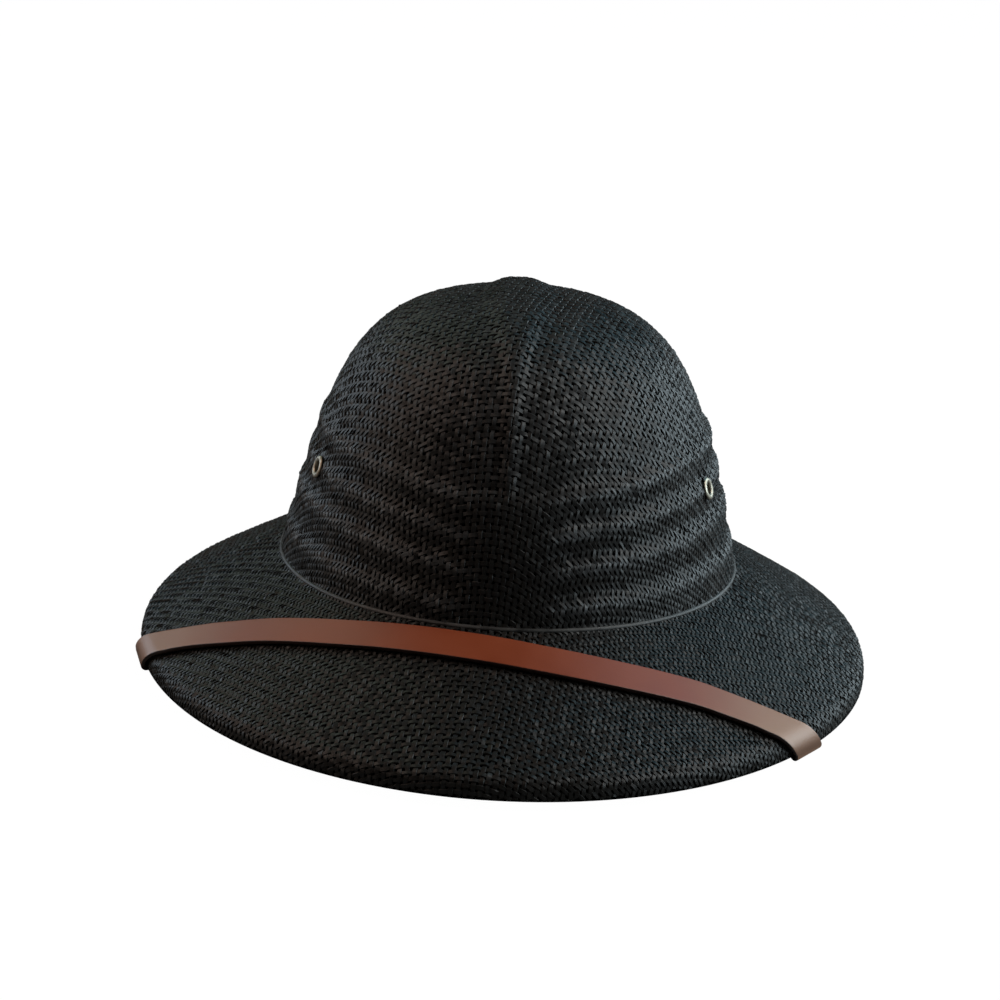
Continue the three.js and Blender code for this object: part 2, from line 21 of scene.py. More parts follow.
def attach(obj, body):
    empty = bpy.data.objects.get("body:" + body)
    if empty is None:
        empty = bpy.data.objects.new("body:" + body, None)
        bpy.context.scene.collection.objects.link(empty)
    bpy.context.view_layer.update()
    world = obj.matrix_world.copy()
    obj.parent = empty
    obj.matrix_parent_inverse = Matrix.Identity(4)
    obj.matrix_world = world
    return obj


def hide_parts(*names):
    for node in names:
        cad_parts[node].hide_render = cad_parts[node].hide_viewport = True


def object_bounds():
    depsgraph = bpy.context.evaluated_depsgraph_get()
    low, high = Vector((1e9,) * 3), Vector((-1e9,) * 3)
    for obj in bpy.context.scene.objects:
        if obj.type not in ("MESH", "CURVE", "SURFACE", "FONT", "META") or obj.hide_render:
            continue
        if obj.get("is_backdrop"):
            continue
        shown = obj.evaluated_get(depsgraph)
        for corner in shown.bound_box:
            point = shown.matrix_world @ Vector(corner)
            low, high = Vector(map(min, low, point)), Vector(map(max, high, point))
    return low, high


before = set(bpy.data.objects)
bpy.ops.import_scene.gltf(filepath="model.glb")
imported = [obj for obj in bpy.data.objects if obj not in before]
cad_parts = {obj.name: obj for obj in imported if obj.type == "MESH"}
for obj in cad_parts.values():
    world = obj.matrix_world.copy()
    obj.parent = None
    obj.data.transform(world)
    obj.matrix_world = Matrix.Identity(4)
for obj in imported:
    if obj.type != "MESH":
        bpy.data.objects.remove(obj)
CAD_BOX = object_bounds()

Array = np.ndarray
Tone = tuple[float, float, float]
LOG = logging.getLogger("sun_helmet")

MM = 0.001
TINY = 0.001
BODY = "root"
UP = np.array([0.0, 0.0, 1.0])

# Sockets of Blender's colour mix node, whose names repeat
MIX_FACTOR = 0
MIX_FIRST = 6
MIX_SECOND = 7
MIX_RESULT = 2


class Slot(Enum):
    """Material slots of the record."""

    STRAW = "black_straw"
    LEATHER = "brown_leather"
    EYELET = "eyelet_brass"
    RIVET = "rivet_brass"


class Family(Enum):
    """The two crossing families of straw strands."""

    ACROSS = "across"
    ALONG = "along"


class Side(Enum):
    """The two sides of the helmet, as seen from the front."""

    LEFT = -1
    RIGHT = 1


def smooth(t: Array) -> Array:
    """Smooth step of t, held between 0 and 1."""
    held = np.clip(t, 0.0, 1.0)
    return held * held * (3.0 - 2.0 * held)


def lerp(start: Array, end: Array, share: Array) -> Array:
    """Value a share of the way from start to end."""
    return start + (end - start) * share


def unit(vectors: Array) -> Array:
    """Vectors of length one along the last axis."""
    return vectors / np.linalg.norm(vectors, axis=-1, keepdims=True)


def mean_step(values: Array, axis: int) -> Array:
    """Step from point to point along an axis, the mean of both sides or the one that is there.

    Args:
        values: points, with NaN where there is none.
        axis: axis to step along.

    Returns:
        The steps, zero where a point has no neighbour.
    """
    step = np.diff(values, axis=axis)
    gap = np.full_like(np.take(values, [0], axis=axis), np.nan)
    ahead = np.concatenate([step, gap], axis=axis)
    behind = np.concatenate([gap, step], axis=axis)
    count = np.isfinite(ahead).astype(float) + np.isfinite(behind)
    return (np.nan_to_num(ahead) + np.nan_to_num(behind)) / np.maximum(count, 1.0)


def smooth_path(knots: Array, steps: int) -> Array:
    """Centripetal Catmull-Rom curve through knots.

    Between two knots it is the cubic whose end slopes come from the neighbouring knots, spaced by
    the square root of the distance between them.

    Args:
        knots: points of any dimension, one a row.
        steps: number of steps between one knot and the next.

    Returns:
        Points of the curve, one a row, both ends included.
    """
    padded = np.vstack([2 * knots[0] - knots[1], knots, 2 * knots[-1] - knots[-2]])
    before, start, end, after = padded[:-3], padded[1:-2], padded[2:-1], padded[3:]
    gaps = np.sqrt(np.linalg.norm(np.diff(padded, axis=0), axis=1))[:, None]
    lead, own, trail = gaps[:-2], gaps[1:-1], gaps[2:]
    leave = ((start - before) / lead - (end - before) / (lead + own) + (end - start) / own) * own
    reach = ((end - start) / own - (after - start) / (own + trail) + (after - end) / trail) * own
    t = (np.arange(steps) / steps)[None, :, None]
    first, last, leave, reach = (a[:, None, :] for a in (start, end, leave, reach))
    cubic = 2 * first - 2 * last + leave + reach
    square = -3 * first + 3 * last - 2 * leave - reach
    curve = first + leave * t + square * t**2 + cubic * t**3
    return np.vstack([curve.reshape(-1, knots.shape[1]), knots[-1:]])


def mesh_piece(
    name: str, points: Array, faces: Sequence[Array], uv: Optional[Array] = None
) -> bpy.types.Object:
    """Makes a smooth-shaded mesh object from arrays.

    Args:
        name: name of the object and its mesh.
        points: vertices in millimetres, one a row.
        faces: arrays of vertex numbers, one face a row, with as many columns as the face has corners.
        uv: optional texture place of each vertex.

    Returns:
        The object, linked to the scene.
    """
    corners = np.concatenate([rows.ravel() for rows in faces]).astype(np.int32)
    sizes = np.concatenate([np.full(len(rows), rows.shape[1], np.int32) for rows in faces])
    starts = np.concatenate([[0], np.cumsum(sizes)[:-1]]).astype(np.int32)
    mesh = bpy.data.meshes.new(name)
    mesh.vertices.add(len(points))
    mesh.vertices.foreach_set("co", (points * MM).astype(np.float32).ravel())
    mesh.loops.add(len(corners))
    mesh.loops.foreach_set("vertex_index", corners)
    mesh.polygons.add(len(sizes))
    mesh.polygons.foreach_set("loop_start", starts)
    mesh.polygons.foreach_set("use_smooth", np.ones(len(sizes), dtype=bool))
    mesh.update(calc_edges=True)
    if uv is not None:
        layer = mesh.uv_layers.new(name="UVMap")
        layer.data.foreach_set("uv", uv[corners].astype(np.float32).ravel())
    made = bpy.data.objects.new(name, mesh)
    bpy.context.scene.collection.objects.link(made)
    return made


def add_values(piece: bpy.types.Object, name: str, values: Array) -> None:
    """Stores one number a vertex as an attribute that a material can read."""
    stored = piece.data.attributes.new(name, "FLOAT", "POINT")
    stored.data.foreach_set("value", values.astype(np.float32).ravel())


def grid_faces(rows: int, columns: int, close_rows: bool = False) -> Array:
    """Quads of a grid whose columns join round, facing along row step x column step.

    Args:
        rows: number of rows of points.
        columns: number of points in a row, the last of which joins the first.
        close_rows: whether the last row joins the first too.

    Returns:
        Vertex numbers, four a row.
    """
    r, c = np.meshgrid(np.arange(rows if close_rows else rows - 1), np.arange(columns), indexing="ij")
    below, beside = (r + 1) % rows, (c + 1) % columns
    quads = [r * columns + c, below * columns + c, below * columns + beside, r * columns + beside]
    return np.stack(quads, axis=-1).reshape(-1, 4)


def turned_points(profile: Array, centre: Array, axis: Array, sides: int) -> Array:
    """Profile of radius and height carried round an axis.

    Args:
        profile: radius and height, one point a row, clockwise with the axis on the left.
        centre: where the axis starts.
        axis: direction of the heights.
        sides: number of steps round.

    Returns:
        Points by profile row and step round.
    """
    first = unit(np.cross(axis, UP))
    second = np.cross(axis, first)
    turn = np.linspace(0.0, 2 * np.pi, sides, endpoint=False)[:, None]
    ring = np.cos(turn) * first + np.sin(turn) * second
    return centre + profile[:, :1, None] * ring + profile[:, 1:, None] * axis


def turned_piece(
    name: str, profile: Array, centre: Array, axis: Array, sides: int, closed: bool
) -> bpy.types.Object:
    """Turned piece from a profile, either a closed loop or a line that starts and ends on the axis.

    Args:
        name: name of the piece.
        profile: radius and height, one point a row, clockwise with the axis on the left.
        centre: where the axis starts.
        axis: direction of the heights.
        sides: number of steps round.
        closed: whether the profile is a loop.

    Returns:
        The object.
    """
    if closed:
        points = turned_points(profile, centre, axis, sides)
        return mesh_piece(name, points.reshape(-1, 3), [grid_faces(len(profile), sides, close_rows=True)])
    inner = turned_points(profile[1:-1], centre, axis, sides).reshape(-1, 3)
    poles = centre + profile[[0, -1], 1:] * axis
    here = np.arange(sides)
    there = (here + 1) % sides
    last = len(inner) - sides
    near = np.stack([np.full(sides, len(inner)), here, there], axis=1)
    far = np.stack([np.full(sides, len(inner) + 1), last + there, last + here], axis=1)
    quads = grid_faces(len(profile) - 2, sides)
    return mesh_piece(name, np.vstack([inner, poles]), [quads, near, far])


@dataclass(frozen=True)
class Pleat:
    """One pleat pressed into the crown wall: heights of its lip, and how far the lip stands out."""

    side: float
    front: float
    right: float
    left: float

    def lip(self, azimuth: Array) -> Array:
        """Height of the lip above the crease, lowest at the front and the back."""
        return lerp(self.front, self.side, np.abs(np.sin(azimuth)))


@dataclass(frozen=True)
class Ridge:
    """Ridge over the crown from front to back, by height above the crease."""

    heights: tuple[float, ...] = (44.0, 60.0, 80.0, 93.0, 100.0, 103.0)
    crest: tuple[float, ...] = (0.6, 0.8, 1.6, 2.4, 3.2, 4.0)
    flank: tuple[float, ...] = (1.8, 2.0, 2.4, 4.0, 8.0, 14.0)
    rise: tuple[float, ...] = (1.6, 1.7, 1.8, 1.9, 2.1, 2.5)
    foot: float = 32.0
    foot_over: float = 12.0
    middle: float = -1.2

    def depth(self, x: Array, height: Array) -> Array:
        """How far it stands out: a flat crest with smooth flanks, fading in above its foot.

        Args:
            x: distance to the right of the middle plane.
            height: height above the crease.

        Returns:
            Depth at each place.
        """
        crest = np.interp(height, self.heights, self.crest)
        flank = np.interp(height, self.heights, self.flank)
        rise = np.interp(height, self.heights, self.rise)
        rise = rise * smooth((height - self.foot) / self.foot_over)
        return rise * smooth((crest + flank - np.abs(x - self.middle)) / flank)


@dataclass(frozen=True)
class Crown:
    """Crown of the helmet: a tapered superellipse with pleats and a ridge pressed into it."""

    half_width: float = 90.0
    half_length: float = 103.0
    crease_height: float = 37.0
    crease_lift: float = 2.4
    rise: float = 103.0
    taper: float = 0.285
    top_power: float = 3.4
    wall_power: float = 5.2
    pleats: tuple[Pleat, ...] = (
        Pleat(54.5, 43.5, 1.9, 1.2),
        Pleat(41.5, 30.5, 1.7, 1.1),
        Pleat(28.0, 18.5, 1.8, 1.2),
        Pleat(12.0, 6.0, 1.3, 1.1),
    )
    ledge: float = 5.0
    fade_from: float = 5.0
    fade_over: float = 14.0
    blend: float = 0.5
    band_depth: float = 1.7
    band_foot: float = 25.0
    # Painted highlight along each pleat's lip, and painted light that grows towards the top of the crown.
    highlight_width: float = 1.8
    top_light: float = 0.3
    top_light_from: float = 20.0
    top_light_over: float = 60.0
    ridge: Ridge = Ridge()

    def height_of(self, shape: Array) -> Array:
        """Height above the crease where the plain crown has narrowed to a share of its oval."""
        return self.rise * (1.0 - shape**self.top_power) ** (1.0 / self.wall_power)

    def shape_of(self, height: Array) -> Array:
        """Share of its oval that the plain crown has at a height, before its taper."""
        g = np.clip(height / self.rise, 0.0, 1.0)
        return (1.0 - g**self.wall_power) ** (1.0 / self.top_power)

    def fade(self, azimuth: Array) -> Array:
        """How far the pleats show, from none at the front and the back to all of them at the sides."""
        turned = np.degrees(np.arcsin(np.minimum(1.0, np.abs(np.sin(azimuth)))))
        return smooth((turned - self.fade_from) / self.fade_over)

    def painted_highlight(self, points: Array) -> Array:
        """How far the straw is painted pale: a painted highlight in a soft line along each pleat's lip, and
        painted light that grows towards the top.

        Args:
            points: places on the crown or off it.

        Returns:
            Share of the way to pale at each place.
        """
        azimuth = np.arctan2(points[..., 0] / self.half_width, -points[..., 1] / self.half_length)
        lift = self.crease_lift * (points[..., 1] / self.half_length) ** 2
        height = points[..., 2] - self.crease_height - lift
        off = [(height - pleat.lip(azimuth)) / self.highlight_width for pleat in self.pleats]
        # Painted highlight on the pleat lips, and painted light towards the top.
        lips = self.fade(azimuth) * np.exp(-np.min(np.abs(off), axis=0) ** 2)
        return np.maximum(lips, self.top_light * smooth((height - self.top_light_from) / self.top_light_over))

    def pleat_depth(self, azimuth: Array, height: Array) -> Array:
        """How far the pleats stand out: each rises evenly to its lip, then falls off over a ledge.

        Args:
            azimuth: angle from the front, in radians.
            height: height above the crease.

        Returns:
            Depth at each place.
        """
        fade = self.fade(azimuth)
        rightness = smooth((np.sin(azimuth) + self.blend) / (2 * self.blend))
        depth = np.zeros(np.broadcast(azimuth, height).shape)
        for pleat, below in zip(self.pleats, [*self.pleats[1:], None]):
            lip = pleat.lip(azimuth)
            foot = below.lip(azimuth) + self.ledge if below else 0.0
            over = smooth((lip + self.ledge - height) / self.ledge)
            under = np.clip((height - foot) / (lip - foot), 0.0, 1.0)
            share = np.where(height >= lip, over, under)
            depth = np.maximum(depth, share * lerp(pleat.left, pleat.right, rightness))
        top = self.pleats[0].lip(azimuth) + self.ledge
        band = self.band_depth * smooth((top - height) / self.ledge) * smooth(height / self.band_foot)
        return lerp(band, depth, fade)

    def plain(self, azimuth: Array, shape: Array, height: Array) -> Array:
        """Point of the crown without pleats or ridge.

        Args:
            azimuth: angle from the front, in radians.
            shape: share of the oval before the taper.
            height: height above the crease.

        Returns:
            Points, by the last axis.
        """
        reach = shape * (1.0 - self.taper * height / self.rise)
        x = self.half_width * reach * np.sin(azimuth)
        y = -self.half_length * reach * np.cos(azimuth)
        z = self.crease_height + self.crease_lift * (y / self.half_length) ** 2 + height
        return np.stack(np.broadcast_arrays(x, y, z), axis=-1)

    def point(self, azimuth: Array, shape: Array, height: Array) -> Array:
        """Point of the pressed crown: the plain one moved outwards by the deeper of pleat and ridge.

        Args:
            azimuth: angle from the front, in radians.
            shape: share of the oval before the taper.
            height: height above the crease.

        Returns:
            Points, by the last axis.
        """
        plain = self.plain(azimuth, shape, height)
        x, y = plain[..., 0], plain[..., 1]
        g = height / self.rise
        narrowed = 1.0 - self.taper * g
        pull = self.top_power * shape ** (self.top_power - 2.0)
        lean = self.top_power * shape**self.top_power * self.taper / narrowed
        out = [
            pull * x / (self.half_width * narrowed) ** 2,
            pull * y / (self.half_length * narrowed) ** 2,
            (lean + self.wall_power * g ** (self.wall_power - 1.0)) / self.rise,
        ]
        outward = unit(np.stack(np.broadcast_arrays(*out), axis=-1))
        depth = np.maximum(self.pleat_depth(azimuth, height), self.ridge.depth(x, height))
        return plain + outward * depth[..., None]


@dataclass(frozen=True)
class Brim:
    """Brim from the crease to its rolled rim."""

    crown: Crown = Crown()
    half_width: float = 144.0
    half_length: float = 171.6
    roll_radius: float = 7.0
    roll_height: float = 2.4
    roll_lean: float = math.radians(29.0)
    bow: float = 0.06

    @property
    def roll_top(self) -> float:
        """Height at which the brim runs into its roll."""
        return self.roll_height + self.roll_radius * math.cos(self.roll_lean)

    @property
    def roll_reach(self) -> float:
        """How far the roll reaches out past the brim."""
        return self.roll_radius * (1.0 - math.sin(self.roll_lean))

    def crease(self, azimuth: Array) -> Array:
        """Height of the crease at an azimuth."""
        return self.crown.crease_height + self.crown.crease_lift * np.cos(azimuth) ** 2

    def slope(self, azimuth: Array, share: Array) -> Array:
        """Angle of the brim below the level.

        Args:
            azimuth: angle from the front, in radians.
            share: share of the way from the crease to the roll.

        Returns:
            Angle in radians.
        """
        reach = np.hypot(
            (self.half_width - self.roll_reach - self.crown.half_width) * np.sin(azimuth),
            (self.half_length - self.roll_reach - self.crown.half_length) * np.cos(azimuth),
        )
        drop = self.crease(azimuth) - self.roll_top
        return np.arctan2(drop * (1.0 - self.bow + 2.0 * self.bow * share), reach)

    def point(self, azimuth: Array, share: Array, sunk: Array = 0.0) -> Array:
        """Point of the brim, sunk below its upper face: ovals that widen evenly and drop in a slight bow.

        Args:
            azimuth: angle from the front, in radians.
            share: share of the way from the crease to the roll.
            sunk: depth below the upper face.

        Returns:
            Points, by the last axis.
        """
        slope = self.slope(azimuth, share)
        inwards = sunk * np.sin(slope)
        half_width = lerp(self.crown.half_width, self.half_width - self.roll_reach, share) - inwards
        half_length = lerp(self.crown.half_length, self.half_length - self.roll_reach, share) - inwards
        fall = (1.0 - self.bow) * share + self.bow * share * share
        z = lerp(self.crease(azimuth), self.roll_top, fall) - sunk * np.cos(slope)
        plan = (half_width * np.sin(azimuth), -half_length * np.cos(azimuth))
        return np.stack(np.broadcast_arrays(*plan, z), axis=-1)

    def roll_angle(self, share: Array) -> Array:
        """Angle from straight up on the roll, a share of the way from the brim to the rim."""
        return lerp(self.roll_lean, math.pi / 2, share)

    def roll_point(self, azimuth: Array, angle: Array, sunk: float = 0.0) -> Array:
        """Point of the roll, a circle carried round the rim.

        Args:
            azimuth: angle from the front, in radians.
            angle: angle from straight up, in radians.
            sunk: depth below the outer face.

        Returns:
            Points, by the last axis.
        """
        radius = self.roll_radius - sunk
        reach = self.roll_radius - radius * np.sin(angle)
        z = self.roll_height + radius * np.cos(angle)
        plan = ((self.half_width - reach) * np.sin(azimuth), -(self.half_length - reach) * np.cos(azimuth))
        return np.stack(np.broadcast_arrays(*plan, z), axis=-1)

    def foot_point(self, azimuth: Array, share: Array, sunk: float = 0.0) -> Array:
        """Point of the short wall below the roll, a share of the way down to its foot."""
        top = self.roll_point(azimuth, math.pi / 2, sunk)
        return top * (1.0 - share[..., None] * UP)

    def leaning(self, azimuth: Array, share: Array, angle: Array) -> Array:
        """Direction square to the brim's oval, tilted by an angle from straight up.

        Args:
            azimuth: angle from the front, in radians.
            share: share of the way from the crease to the rim.
            angle: angle from straight up, in radians.

        Returns:
            Directions, by the last axis.
        """
        east = np.sin(azimuth) / lerp(self.crown.half_width, self.half_width, share)
        north = -np.cos(azimuth) / lerp(self.crown.half_length, self.half_length, share)
        level = unit(np.stack(np.broadcast_arrays(east, north, 0.0 * east), axis=-1))
        tilt = np.asarray(angle)[..., None]
        return level * np.sin(tilt) + UP * np.cos(tilt)

    def normal(self, azimuth: Array, share: Array) -> Array:
        """Direction square to the brim's upper face."""
        return self.leaning(azimuth, share, self.slope(azimuth, share))


@dataclass
class ShellSurface:
    """Fine grid over the outer face of the sheet, by rows from the top to the rim and by azimuth."""

    crown: Crown = field(default_factory=Crown)
    brim: Brim = field(default_factory=Brim)
    dome_rows: int = 100
    wall_rows: int = 150
    brim_rows: int = 100
    roll_rows: int = 14
    foot_rows: int = 5
    columns: int = 720
    dome_share: float = 0.8
    soften_kernel: tuple[float, ...] = (0.0625, 0.25, 0.375, 0.25, 0.0625)
    soften_passes: int = 2
    column_passes: int = 6
    points: Array = field(init=False)
    normals: Array = field(init=False)
    plain: Array = field(init=False)
    arc: Array = field(init=False)

    def __post_init__(self) -> None:
        """Works out the grid's points, the way outwards, and the arc length from the top."""
        azimuth = np.linspace(-np.pi, np.pi, self.columns, endpoint=False)[None, :]
        shape = np.linspace(0.0, self.dome_share, self.dome_rows, endpoint=False)
        height = np.linspace(self.crown.height_of(self.dome_share), 0.0, self.wall_rows)
        heights = np.concatenate([self.crown.height_of(shape), height])[:, None]
        shapes = np.concatenate([shape, self.crown.shape_of(height)])[:, None]
        brim = self.brim.point(azimuth, self._shares(self.brim_rows))
        roll = self.brim.roll_point(azimuth, self.brim.roll_angle(self._shares(self.roll_rows)))
        foot = self.brim.foot_point(azimuth, self._shares(self.foot_rows))
        crown = self.crown.point(azimuth, shapes, heights)
        plain = self.crown.plain(azimuth, shapes, heights)
        self.plain = np.concatenate([plain, brim, roll, foot])
        self.points = self._softened(np.concatenate([crown, brim, roll, foot]))
        lengths = np.linalg.norm(np.diff(self.plain, axis=0), axis=-1)
        self.arc = np.concatenate([np.zeros((1, self.columns)), np.cumsum(lengths, axis=0)])
        down = np.gradient(self.points, axis=0)
        round_about = np.roll(self.points, -1, axis=1) - np.roll(self.points, 1, axis=1)
        square = np.cross(down, round_about)
        square[0] = UP
        self.normals = unit(square)

    @property
    def crease_row(self) -> int:
        """Row of the grid that runs along the crease."""
        return self.dome_rows + self.wall_rows - 1

    @staticmethod
    def _shares(count: int) -> Array:
        """Even shares from just after 0 up to 1, one a row."""
        return (np.arange(1, count + 1) / count)[:, None]

    def _softened(self, points: Array) -> Array:
        """Rounds the ridge by a running mean round the columns, and lips and crease by one down the rows.

        The mean down the rows spares both ends.

        Args:
            points: grid of points.

        Returns:
            The rounded grid.
        """
        reach = len(self.soften_kernel) // 2
        for _ in range(self.column_passes):
            points = sum(w * np.roll(points, k - reach, axis=1) for k, w in enumerate(self.soften_kernel))
        for _ in range(self.soften_passes):
            kept = len(points) - 2 * reach
            mean = sum(w * points[k : k + kept] for k, w in enumerate(self.soften_kernel))
            spared = slice(self.roll_rows, kept - self.roll_rows)
            points = points.copy()
            points[reach : reach + kept][spared] = mean[spared]
        return points

    def triangles(self) -> Array:
        """Two triangles for each cell of the grid, as vertex numbers."""
        quads = grid_faces(len(self.points), self.columns)
        return np.concatenate([quads[:, [0, 1, 2]], quads[:, [0, 2, 3]]])


@dataclass
class StrawCloth:
    """How the flat woven cloth lies on the pressed form.

    A point's place in the cloth starts from its plan coordinates, turned to the grain. Each is then
    drawn out towards the arc length from the top, the more so the closer the point's direction is to
    that thread, and the threads that run across sag in a soft chevron.
    """

    pitch: tuple[float, float] = (2.77, 2.606)
    grain: float = -0.169
    draw_power: float = 1.1
    chevron: float = 0.186
    chevron_round: float = 5.0

    def place(self, surface: ShellSurface) -> Array:
        """Place in the cloth of each point of the surface's grid, counted in strands.

        Args:
            surface: the pressed form.

        Returns:
            Strand numbers across and along, by the last axis.
        """
        x, y = surface.plain[..., 0], surface.plain[..., 1]
        turned = (
            x * math.cos(self.grain) + y * math.sin(self.grain),
            y * math.cos(self.grain) - x * math.sin(self.grain),
        )
        radius = np.hypot(x, y)
        spare = surface.arc - radius
        ways = [t / np.maximum(radius, TINY) for t in turned]
        drawn = [w * (radius + spare * np.abs(w) ** self.draw_power) for w in ways]
        sag = self.chevron * np.hypot(x, self.chevron_round)
        return np.stack([drawn[0] / self.pitch[0], (drawn[1] + sag) / self.pitch[1]], axis=-1)

    def locate(self, surface: ShellSurface, shift: tuple[float, float]) -> tuple[Array, Array]:
        """Finds where whole strand numbers, moved by a shift, lie on the surface.

        Every triangle of the grid is asked for the crossing nearest to it, and holds it if its three
        area shares are positive. Points and normals are then mixed by those shares.

        Args:
            surface: the pressed form.
            shift: part of a strand to add to the whole numbers, across and along.

        Returns:
            Points and normals by strand number across and along, NaN off the form.
        """
        place = (self.place(surface) - np.array(shift)).reshape(-1, 2)
        corners = surface.triangles()
        a, b, c = (place[corners[:, k]] for k in range(3))
        node = np.rint((a + b + c) / 3.0)
        first, second, offset = b - a, c - a, node - a
        area = np.cross(first, second)
        solid = np.where(area == 0.0, np.nan, area)
        share_b = np.cross(offset, second) / solid
        share_c = np.cross(first, offset) / solid
        held = (share_b >= 0.0) & (share_c >= 0.0) & (share_b + share_c <= 1.0)
        shares = np.stack([1.0 - share_b - share_c, share_b, share_c], axis=1)[held]
        half = int(np.ceil(np.abs(place).max())) + 1
        number = node[held].astype(int) + half
        found = []
        for grid in (surface.points, surface.normals):
            values = grid.reshape(-1, 3)[corners[held]]
            table = np.full((2 * half + 1, 2 * half + 1, 3), np.nan)
            table[number[:, 0], number[:, 1]] = np.einsum("nk,nkd->nd", shares, values)
            found.append(table)
        return found[0], found[1]


class Graph:
    """Short way to build a node tree."""

    def __init__(self, tree: bpy.types.NodeTree) -> None:
        """Keeps the tree and empties it."""
        self.tree = tree
        tree.nodes.clear()

    def node(self, kind: str, inputs: Optional[dict] = None, **settings: object) -> bpy.types.Node:
        """Adds a node.

        Args:
            kind: Blender's name for the node type.
            inputs: values or source sockets for its inputs, by name or number.
            settings: values for the node's own settings.

        Returns:
            The node.
        """
        made = self.tree.nodes.new(kind)
        for name, value in settings.items():
            setattr(made, name, value)
        for name, value in (inputs or {}).items():
            if isinstance(value, bpy.types.NodeSocket):
                self.tree.links.new(value, made.inputs[name])
            else:
                made.inputs[name].default_value = value
        return made

    def math(self, operation: str, first: object, second: object) -> bpy.types.NodeSocket:
        """Adds an operation on two values and returns its result."""
        return self.node("ShaderNodeMath", {0: first, 1: second}, operation=operation).outputs[0]

    def mix(self, factor: object, first: object, second: object) -> bpy.types.NodeSocket:
        """Adds a mix of two colours and returns its result."""
        sockets = {MIX_FACTOR: factor, MIX_FIRST: first, MIX_SECOND: second}
        return self.node("ShaderNodeMix", sockets, data_type="RGBA").outputs[MIX_RESULT]

    def spread(self, value: object, low: float, high: float) -> bpy.types.NodeSocket:
        """Maps a value from between 0 and 1 to between low and high."""
        return self.node("ShaderNodeMapRange", {"Value": value, "To Min": low, "To Max": high}).outputs[0]

    def attribute(self, name: str) -> bpy.types.NodeSocket:
        """Reads a value that is stored at the vertices."""
        return self.node("ShaderNodeAttribute", attribute_name=name).outputs["Fac"]

    def bump(self, height: bpy.types.NodeSocket, depth: float) -> bpy.types.NodeSocket:
        """Adds a bump of a given depth in millimetres and returns its normal."""
        values = {"Height": height, "Strength": 1.0, "Distance": depth * MM}
        return self.node("ShaderNodeBump", values).outputs["Normal"]


def colour(red: float, green: float, blue: float) -> tuple[float, float, float, float]:
    """Opaque linear colour."""
    return (red, green, blue, 1.0)


class Mottle:
    """Shared soft unevenness of a surface, as a node group that puts out a value from 0 to 1."""

    NAME = "soft_mottle"
    DETAIL = 4.0
    LOWEST = 0.3
    HIGHEST = 0.7

    @classmethod
    def group(cls) -> bpy.types.NodeTree:
        """Builds the group once: noise at a given scale on the piece's own coordinates.

        Returns:
            The group.
        """
        made = bpy.data.node_groups.get(cls.NAME)
        if made:
            return made
        made = bpy.data.node_groups.new(cls.NAME, "ShaderNodeTree")
        made.interface.new_socket("Scale", in_out="INPUT", socket_type="NodeSocketFloat")
        made.interface.new_socket("Mottle", in_out="OUTPUT", socket_type="NodeSocketFloat")
        graph = Graph(made)
        entry = graph.node("NodeGroupInput")
        place = graph.node("ShaderNodeTexCoord").outputs["Object"]
        sockets = {"Vector": place, "Scale": entry.outputs["Scale"], "Detail": cls.DETAIL}
        noise = graph.node("ShaderNodeTexNoise", sockets).outputs["Fac"]
        span = {"Value": noise, "From Min": cls.LOWEST, "From Max": cls.HIGHEST}
        even = graph.node("ShaderNodeMapRange", span)
        graph.node("NodeGroupOutput", {"Mottle": even.outputs[0]})
        return made

    @classmethod
    def place(cls, graph: Graph, scale: float) -> bpy.types.NodeSocket:
        """Places the group in a material and returns its value."""
        return graph.node("ShaderNodeGroup", {"Scale": scale}, node_tree=cls.group()).outputs["Mottle"]


def new_material(name: str) -> tuple[bpy.types.Material, Graph]:
    """Makes an empty node material.

    Args:
        name: name of the material.

    Returns:
        The material, and the graph to fill it with.
    """
    made = bpy.data.materials.new(name)
    made.use_nodes = True
    return made, Graph(made.node_tree)


@dataclass(frozen=True)
class Finish:
    """Finish of a piece: a soft mottle carries its ground colour over to its patch colour."""

    name: str
    ground: Tone
    patch: Tone
    mottle_scale: float
    rough_low: float
    rough_high: float

    def mottled(self, graph: Graph, share: bpy.types.NodeSocket) -> bpy.types.NodeSocket:
        """Colour a share of the way from the ground to the patches."""
        return graph.mix(share, colour(*self.ground), colour(*self.patch))

    def inputs(self, graph: Graph, mottle: bpy.types.NodeSocket) -> dict:
        """Inputs of the shader: the mottle sets the colour and the roughness.

        Args:
            graph: the material's node tree.
            mottle: value of the mottle, from 0 to 1.

        Returns:
            Values or source sockets, by the name of the input.
        """
        return {
            "Base Color": self.mottled(graph, mottle),
            "Roughness": graph.spread(mottle, self.rough_low, self.rough_high),
        }

    def material(self) -> bpy.types.Material:
        """Builds the material: one principled shader with the finish's inputs.

        Returns:
            The material.
        """
        made, graph = new_material(self.name)
        mottle = Mottle.place(graph, self.mottle_scale)
        shader = graph.node("ShaderNodeBsdfPrincipled", self.inputs(graph, mottle))
        graph.node("ShaderNodeOutputMaterial", {"Surface": shader.outputs[0]})
        return made


